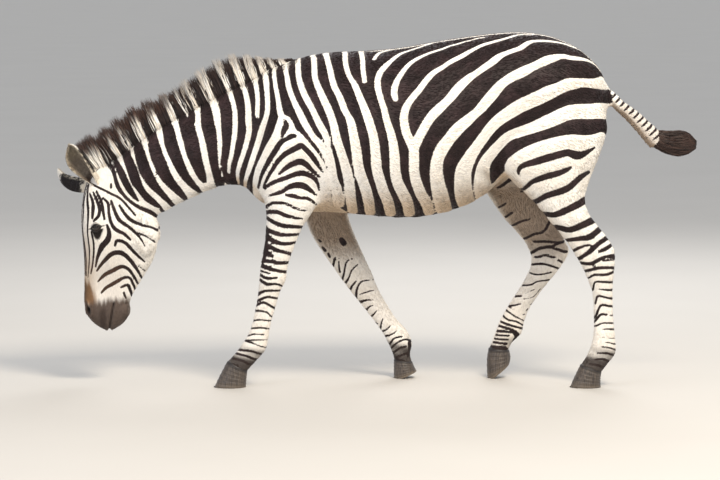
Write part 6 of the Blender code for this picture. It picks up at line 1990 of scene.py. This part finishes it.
def coat_material(name, bump_strength):
    """Light hair with its tints, dark hair where the stripe field is over 0, covers, then streaks."""
    material, tree, shader = start_material(
        name, IOR=1.45, Specular_IOR_Level=0.30, Sheen_Weight=0.04, Sheen_Roughness=0.4
    )
    coords = add(tree, "TexCoord", give="Object")
    names = ("stripe", "shade", "down", *TINTS, *COVERS)
    mark = {n: add(tree, "Attribute", give="Fac", attribute_name=n) for n in names}
    fine = add(tree, "TexNoise", {"Vector": coords, "Scale": 520.0})
    broad = add(tree, "TexNoise", {"Vector": coords, "Scale": 75.0})
    field = add(tree, "Math", {0: fine, 1: 2.4, 2: mark["stripe"]}, operation="MULTIPLY_ADD")
    field = add(tree, "Math", {0: broad, 1: 2.6, 2: field}, operation="MULTIPLY_ADD")
    dark_share = add(tree, "MapRange", {0: field, 1: 2.0, 2: 3.0}, interpolation_type="SMOOTHSTEP")
    along = add(tree, "Mapping", {"Vector": coords, "Scale": (60.0, 420.0, 420.0)})
    falling = add(tree, "Mapping", {"Vector": coords, "Scale": (420.0, 420.0, 60.0)})
    hair_along = add(tree, "TexNoise", {"Vector": along, "Scale": 1.0, "Detail": 3.0, "Roughness": 0.6})
    hair_down = add(tree, "TexNoise", {"Vector": falling, "Scale": 1.0, "Detail": 3.0, "Roughness": 0.6})
    hair = add(tree, "Mix", {0: mark["down"], 2: hair_along, 3: hair_down}, data_type="FLOAT")
    dusty = add(tree, "TexNoise", {"Vector": coords, "Scale": 7.0, "Detail": 3.0})
    dusty = add(tree, "MapRange", {0: dusty, 1: 0.42, 2: 0.72, 3: 0.0, 4: 0.20})
    light = add(tree, "Mix", {0: dusty, 6: rgba(LIGHT_HAIR), 7: rgba(DUST)}, **COLOUR)
    for n, (tint, most) in TINTS.items():
        share = add(tree, "Math", {0: mark[n], 1: most}, operation="MULTIPLY")
        light = add(tree, "Mix", {0: share, 6: light, 7: rgba(tint)}, **COLOUR)
    # Random patches of browner dark hair: sun-worn hair, and also painted sheen
    worn_and_sheen = add(tree, "TexNoise", {"Vector": coords, "Scale": 16.0, "Detail": 4.0, "Roughness": 0.65})
    worn_and_sheen = add(tree, "MapRange", {0: worn_and_sheen, 1: 0.45, 2: 0.80, 3: 0.0, 4: 0.8})
    dark = add(tree, "Mix", {0: worn_and_sheen, 6: rgba(DARK_HAIR), 7: rgba(WORN_AND_SHEEN_DARK)}, **COLOUR)
    colour = add(tree, "Mix", {0: dark_share, 6: light, 7: dark}, **COLOUR)
    for n, cover in COVERS.items():
        colour = add(tree, "Mix", {0: mark[n], 6: colour, 7: rgba(cover)}, **COLOUR)
    streak = add(tree, "MapRange", {0: hair, 1: 0.3, 2: 0.7, 3: 0.84, 4: 1.06})
    tone = add(tree, "MapRange", {0: mark["shade"], 3: 0.90, 4: 1.05})
    tone = add(tree, "Math", {0: streak, 1: tone}, operation="MULTIPLY")
    grey = add(tree, "CombineColor", {0: tone, 1: tone, 2: tone})
    colour = add(tree, "Mix", {0: 1.0, 6: colour, 7: grey}, blend_type="MULTIPLY", **COLOUR)
    tree.links.new(colour, shader.inputs["Base Color"])
    tree.links.new(add(tree, "MapRange", {0: dark_share, 3: 0.70, 4: 0.55}), shader.inputs["Roughness"])
    bump = add(tree, "Bump", {"Strength": bump_strength, "Distance": 0.0010, "Height": hair})
    tree.links.new(bump, shader.inputs["Normal"])
    return material


skin_coat = coat_material("zebra_short_hair_on_skin", 0.55)
tuft_coat = coat_material("zebra_short_hair_tufts", 0.25)

# %% Mane hair: stiff and dry, since it stands clear of the skin's oil, so it is matt and its tips fray brown
mane_material, tree, shader = start_material(
    "zebra_mane_bristle", IOR=1.5, Roughness=0.6, Specular_IOR_Level=0.3, Sheen_Weight=0.05
)
stripe, shade, along, front = (
    add(tree, "Attribute", give="Fac", attribute_name=n) for n in ("stripe", "shade", "along", "front")
)
dark_share = add(tree, "MapRange", {0: stripe, 1: -1.5, 2: 1.5}, interpolation_type="SMOOTHSTEP")
light = add(tree, "Mix", {0: shade, 6: rgba("#FDFAF4"), 7: rgba("#EADFCF")}, **COLOUR)
dark = add(tree, "Mix", {0: shade, 6: rgba("#171011"), 7: rgba("#342623")}, **COLOUR)
colour = add(tree, "Mix", {0: dark_share, 6: light, 7: dark}, **COLOUR)
brown = add(tree, "Mix", {0: shade, 6: rgba("#241815"), 7: rgba("#5E4236")}, **COLOUR)
tips = add(tree, "MapRange", {0: along, 1: 0.42, 2: 0.85}, interpolation_type="SMOOTHSTEP")
tips = add(tree, "Math", {0: tips, 1: front}, operation="MULTIPLY")
colour = add(tree, "Mix", {0: tips, 6: colour, 7: brown}, **COLOUR)
frayed = add(tree, "MapRange", {0: along, 1: 0.60, 2: 1.0, 3: 0.0, 4: 0.55})
colour = add(tree, "Mix", {0: frayed, 6: colour, 7: brown}, **COLOUR)
tree.links.new(colour, shader.inputs["Base Color"])

# %% Tail tuft: long coarse horsehair that always swings, so it is polished, with a low gloss
tuft_material, tree, shader = start_material(
    "zebra_tail_horsehair", IOR=1.5, Roughness=0.5, Specular_IOR_Level=0.35, Sheen_Weight=0.04
)
coords = add(tree, "TexCoord", give="Object")
shade = add(tree, "Attribute", give="Fac", attribute_name="shade")
colour = add(tree, "Mix", {0: shade, 6: rgba("#1A1110"), 7: rgba("#47322A")}, **COLOUR)
faded = add(tree, "TexNoise", {"Vector": coords, "Scale": 30.0})
faded = add(tree, "MapRange", {0: faded, 1: 0.5, 2: 0.8, 3: 0.0, 4: 0.4})
colour = add(tree, "Mix", {0: faded, 6: colour, 7: rgba("#473529")}, **COLOUR)
tree.links.new(colour, shader.inputs["Base Color"])

# %% [markdown]
# ## Ear, eye, lid and horn
# The ear's hollow is bare tan skin that long pale hairs half cover, pale at its rims and darkest deep inside,
# where the dark is partly skin showing through and partly painted shade. Its back is short hair: pale at the
# root, black, then a white tip. Tears keep the eye wet, so it is nearly a mirror over a dark brown iris. The
# lids are bare skin that rubs itself smooth, black and faintly shiny. A hoof is horn that grows down in fine
# tubes and is scuffed by the ground: grey-brown, satin, streaked from top to bottom, and dusty at its lower
# edge.

# %% Ear hair
ear_material, tree, shader = start_material(
    "zebra_ear_hair", IOR=1.45, Roughness=0.65, Specular_IOR_Level=0.3, Sheen_Weight=0.05
)
coords = add(tree, "TexCoord", give="Object")
share, inside, edge = (
    add(tree, "Attribute", give="Fac", attribute_name=n) for n in ("share", "inside", "edge")
)
waves = add(tree, "TexNoise", {"Vector": coords, "Scale": 90.0})
wavy = add(tree, "Math", {0: waves, 1: 0.25, 2: share}, operation="MULTIPLY_ADD")
colour = {}
# bare: dark skin round the eyes, and painted shade along the mouth's crease
for where, first, steps in (
    ("back", "#E9DFCE", ((0.42, 0.52, "#1E1617"), (0.95, 1.01, "#F6F0E6"))),
    # The hollow is darkest at its root: partly skin through thinner hair, partly painted shade
    ("hollow", "#5E4D42", ((0.34, 0.52, "#9F9180"), (0.70, 0.95, "#BDB09C"))),
):
    made = rgba(first)
    for low, high, next_colour in steps:
        step = add(tree, "MapRange", {0: wavy, 1: low, 2: high}, interpolation_type="SMOOTHSTEP")
        made = add(tree, "Mix", {0: step, 6: made, 7: rgba(next_colour)}, **COLOUR)
    colour[where] = made
rim = add(tree, "MapRange", {0: edge, 1: 0.25, 2: 0.85}, interpolation_type="SMOOTHSTEP")
both = add(tree, "Mix", {0: inside, 6: colour["back"], 7: colour["hollow"]}, **COLOUR)
both = add(tree, "Mix", {0: rim, 6: both, 7: rgba("#E2D6C0")}, **COLOUR)
hairs = add(tree, "TexNoise", {"Vector": coords, "Scale": 300.0, "Detail": 3.0})
hairs = add(tree, "MapRange", {0: hairs, 1: 0.3, 2: 0.7, 3: 0.80, 4: 1.08})
grey = add(tree, "CombineColor", {0: hairs, 1: hairs, 2: hairs})
both = add(tree, "Mix", {0: 1.0, 6: both, 7: grey}, blend_type="MULTIPLY", **COLOUR)
tree.links.new(both, shader.inputs["Base Color"])

# %% Wet eye
eye_material, tree, shader = start_material(
    "zebra_wet_eye", IOR=1.376, Roughness=0.04, Coat_Weight=0.8, Coat_Roughness=0.02
)
coords = add(tree, "TexCoord", give="Object")
iris, pupil = (add(tree, "Attribute", give="Fac", attribute_name=n) for n in ("iris", "pupil"))
fibres = add(tree, "TexNoise", {"Vector": coords, "Scale": 700.0, "Detail": 3.0})
colour = add(tree, "Mix", {0: fibres, 6: rgba("#160B07"), 7: rgba("#331C11")}, **COLOUR)
for reach, low, high, tone in (
    (pupil, 1.05, 0.90, "#030204"),
    (iris, 0.66, 0.76, "#120C0A"),
    (iris, 0.95, 1.10, "#4A3830"),
):
    step = add(tree, "MapRange", {0: reach, 1: low, 2: high}, interpolation_type="SMOOTHSTEP")
    colour = add(tree, "Mix", {0: step, 6: colour, 7: rgba(tone)}, **COLOUR)
tree.links.new(colour, shader.inputs["Base Color"])

# %% Lid skin and lashes
lid_material, tree, shader = start_material("zebra_bare_lid_skin", IOR=1.45, Roughness=0.42)
coords = add(tree, "TexCoord", give="Object")
grain = add(tree, "TexNoise", {"Vector": coords, "Scale": 900.0, "Detail": 3.0})
colour = add(tree, "Mix", {0: grain, 6: rgba("#0F0A0A"), 7: rgba("#241B18")}, **COLOUR)
tree.links.new(colour, shader.inputs["Base Color"])
bump = add(tree, "Bump", {"Strength": 0.3, "Distance": 0.0005, "Height": grain})
tree.links.new(bump, shader.inputs["Normal"])

# %% Hoof horn
hoof_material, tree, shader = start_material("zebra_hoof_keratin", IOR=1.55)
coords = add(tree, "TexCoord", give="Object")
down = add(tree, "Attribute", give="Fac", attribute_name="down")
tall = add(tree, "Mapping", {"Vector": coords, "Scale": (260.0, 260.0, 22.0)})
tubes = add(tree, "TexNoise", {"Vector": tall, "Scale": 1.0, "Detail": 4.0, "Roughness": 0.6})
streak = add(tree, "MapRange", {0: tubes, 1: 0.35, 2: 0.70})
colour = add(tree, "Mix", {0: streak, 6: rgba("#2E2622"), 7: rgba("#62574D")}, **COLOUR)
top = add(tree, "MapRange", {0: down, 1: 0.16, 2: 0.02}, interpolation_type="SMOOTHSTEP")
colour = add(tree, "Mix", {0: top, 6: colour, 7: rgba("#1F1815")}, **COLOUR)
dust = add(tree, "MapRange", {0: down, 1: 0.6, 2: 1.0, 3: 0.0, 4: 0.40})
colour = add(tree, "Mix", {0: dust, 6: colour, 7: rgba("#94836C")}, **COLOUR)
tree.links.new(colour, shader.inputs["Base Color"])
satin = add(tree, "MapRange", {0: tubes, 1: 0.3, 2: 0.7, 3: 0.42, 4: 0.60})
tree.links.new(satin, shader.inputs["Roughness"])
bump = add(tree, "Bump", {"Strength": 0.4, "Distance": 0.0006, "Height": tubes})
tree.links.new(bump, shader.inputs["Normal"])


# %% Give every piece its finish
def finished(piece, material):
    """Makes the material the piece's only one."""
    piece.data.materials.clear()
    piece.data.materials.append(material)


finished(skin, skin_coat)
for piece in coat_pieces:
    finished(piece, tuft_coat)
for piece in (mane, core):
    finished(piece, mane_material)
for piece in (tuft, tuft_core):
    finished(piece, tuft_material)
for piece in [e[0] for e in ears.values()] + ear_hair:
    finished(piece, ear_material)
for piece in eyes:
    finished(piece, eye_material)
finished(lid_rims, lid_material)
for piece in hoof_pieces.values():
    finished(piece, hoof_material)
HIDDEN_SOLIDS = (  # the frame's nodes and the finish each one has under its piece
    (("eye_left", "eye_right"), eye_material),
    (("hoof_fore_left", "hoof_fore_right", "hoof_hind_left", "hoof_hind_right"), hoof_material),
    (("mane",), mane_material),
    (("tail_tuft",), tuft_material),
    (("ear_left", "ear_right"), ear_material),
)
plain = {name: material for names, material in HIDDEN_SOLIDS for name in names}
for name, node in frame["nodes"].items():
    finish = plain.get(name, skin_coat)
    if node.data.materials:
        node.data.materials[0] = finish
    else:
        node.data.materials.append(finish)
print("materials:", len(bpy.data.materials))

# %% [markdown]
# ## Tie the pieces to the frame
# Nothing moves on a still model, so every piece rides on the one body. The solids that the pieces stand
# for are hidden.

# %% Ride and replace
FLESH = ["head", "neck", "trunk", "tail_dock"]
for leg in ("foreleg_left", "foreleg_right", "hindleg_left", "hindleg_right"):
    FLESH += [f"{leg}_upper", f"{leg}_lower"]
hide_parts(*FLESH)
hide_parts("mane")
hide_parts("tail_tuft")
for word, eye in zip(("left", "right"), eyes):
    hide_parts(f"eye_{word}")
for name, piece in hoof_pieces.items():
    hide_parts(name)
for name, made in ears.items():
    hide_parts(name)
SLOTS = {
    "coat": [skin, *coat_pieces, *ear_hair, *(e[0] for e in ears.values()), lid_rims],
    "mane_hair": [mane, core],
    "tuft_hair": [tuft, tuft_core],
    "eye": eyes,
    "hoof_horn": list(hoof_pieces.values()),
}
pieces = [piece for made in SLOTS.values() for piece in made]
for slot, made in SLOTS.items():
    for piece in made:
        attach(piece, "root")
print("pieces:", len(pieces), "faces:", sum(len(p.data.polygons) for p in pieces))

# %% [markdown]
# ## Floor, light and camera
# A pale floor reaches past the horizon of every view, so it serves as the backdrop too. One large soft light
# hangs high on the camera's side, as a cloudy sun would, a weaker one fills from the other side, and the
# world gives the rest.

# %% The floor
FLOOR_REACH, FLOOR_LINES, FLOOR_DROP = 120, 25, 0.0004  # half size, lines each way, depth under the soles
line = np.linspace(-FLOOR_REACH, FLOOR_REACH, FLOOR_LINES)
x, y = (v.ravel() for v in np.meshgrid(line, line, indexing="ij"))
r, c = np.meshgrid(np.arange(FLOOR_LINES - 1), np.arange(FLOOR_LINES - 1), indexing="ij")
a = (r * FLOOR_LINES + c).ravel()
cells = np.stack([a, a + FLOOR_LINES, a + FLOOR_LINES + 1, a + 1], axis=1)
floor = mesh_piece("studio_floor", np.stack([x, y, np.full(len(x), -FLOOR_DROP)], axis=1), cells)
# Matt paint, rolled on and dried slowly, so its tone hardly varies and it throws no glare.
paint, tree, shader = start_material("pale_matt_floor_paint", Roughness=0.9)
coords = add(tree, "TexCoord", give="Object")
cloud = add(tree, "TexNoise", {"Vector": coords, "Scale": 1.2})
colour = add(tree, "Mix", {0: cloud, 6: rgba("#BDB9B3"), 7: rgba("#C3BFB9")}, **COLOUR)
tree.links.new(colour, shader.inputs["Base Color"])
finished(floor, paint)


# %% Lights
def soft_light(name, place, target, size, power, colour):
    """A square lamp at place that faces target: its -Z axis is turned towards it."""
    lamp = bpy.data.lights.new(name, "AREA")
    lamp.shape, lamp.size, lamp.energy = "SQUARE", size, power
    lamp.color = tuple(linear(colour))
    made = bpy.data.objects.new(name, lamp)
    made.location = place
    back = unit(np.array(place, float) - target)
    side = unit(np.cross([0, 0, 1], back))
    up = np.cross(back, side)
    made.rotation_euler = (
        math.atan2(up[2], back[2]),
        math.atan2(-side[2], math.hypot(up[2], back[2])),
        math.atan2(side[1], side[0]),
    )
    bpy.context.scene.collection.objects.link(made)


LIGHTS_FACE, BACK_FACES = (0, 0, 0.7), (0, 0, 0.8)
soft_light("key", (1.8, -3.8, 5.4), LIGHTS_FACE, 1.8, 400, "#FFF3E0")
soft_light("fill", (-4.5, -4.5, 2.6), LIGHTS_FACE, 3.0, 75, "#F2F4FF")
soft_light("back", (1.0, 4.2, 4.0), BACK_FACES, 3.0, 130, "#FFFFFF")
world = bpy.data.worlds.new("studio")
bpy.context.scene.world = world
world.use_nodes = True
sky = world.node_tree.nodes["Background"].inputs
sky["Color"].default_value = rgba("#E8ECF2")
sky["Strength"].default_value = 0.90

# %% Camera
CAMERA_PLACE, CAMERA_TARGET = (-0.0576, -12.0, 1.6), (-0.0576, 0.0, 0.517)
lens = bpy.data.cameras.new("long_lens")
lens.lens, lens.sensor_width, lens.clip_end = 166.7, 36.0, 100.0
camera = bpy.data.objects.new("camera", lens)
camera.location = CAMERA_PLACE
fall = math.atan2(CAMERA_PLACE[2] - CAMERA_TARGET[2], CAMERA_TARGET[1] - CAMERA_PLACE[1])
camera.rotation_euler = (math.pi / 2 - fall, 0, 0)
bpy.context.scene.collection.objects.link(camera)
bpy.context.scene.camera = camera
bpy.context.scene.view_settings.view_transform = "Standard"  # keeps light hair clean and dark hair deep
print("camera looks down by %.2f degrees" % math.degrees(fall))
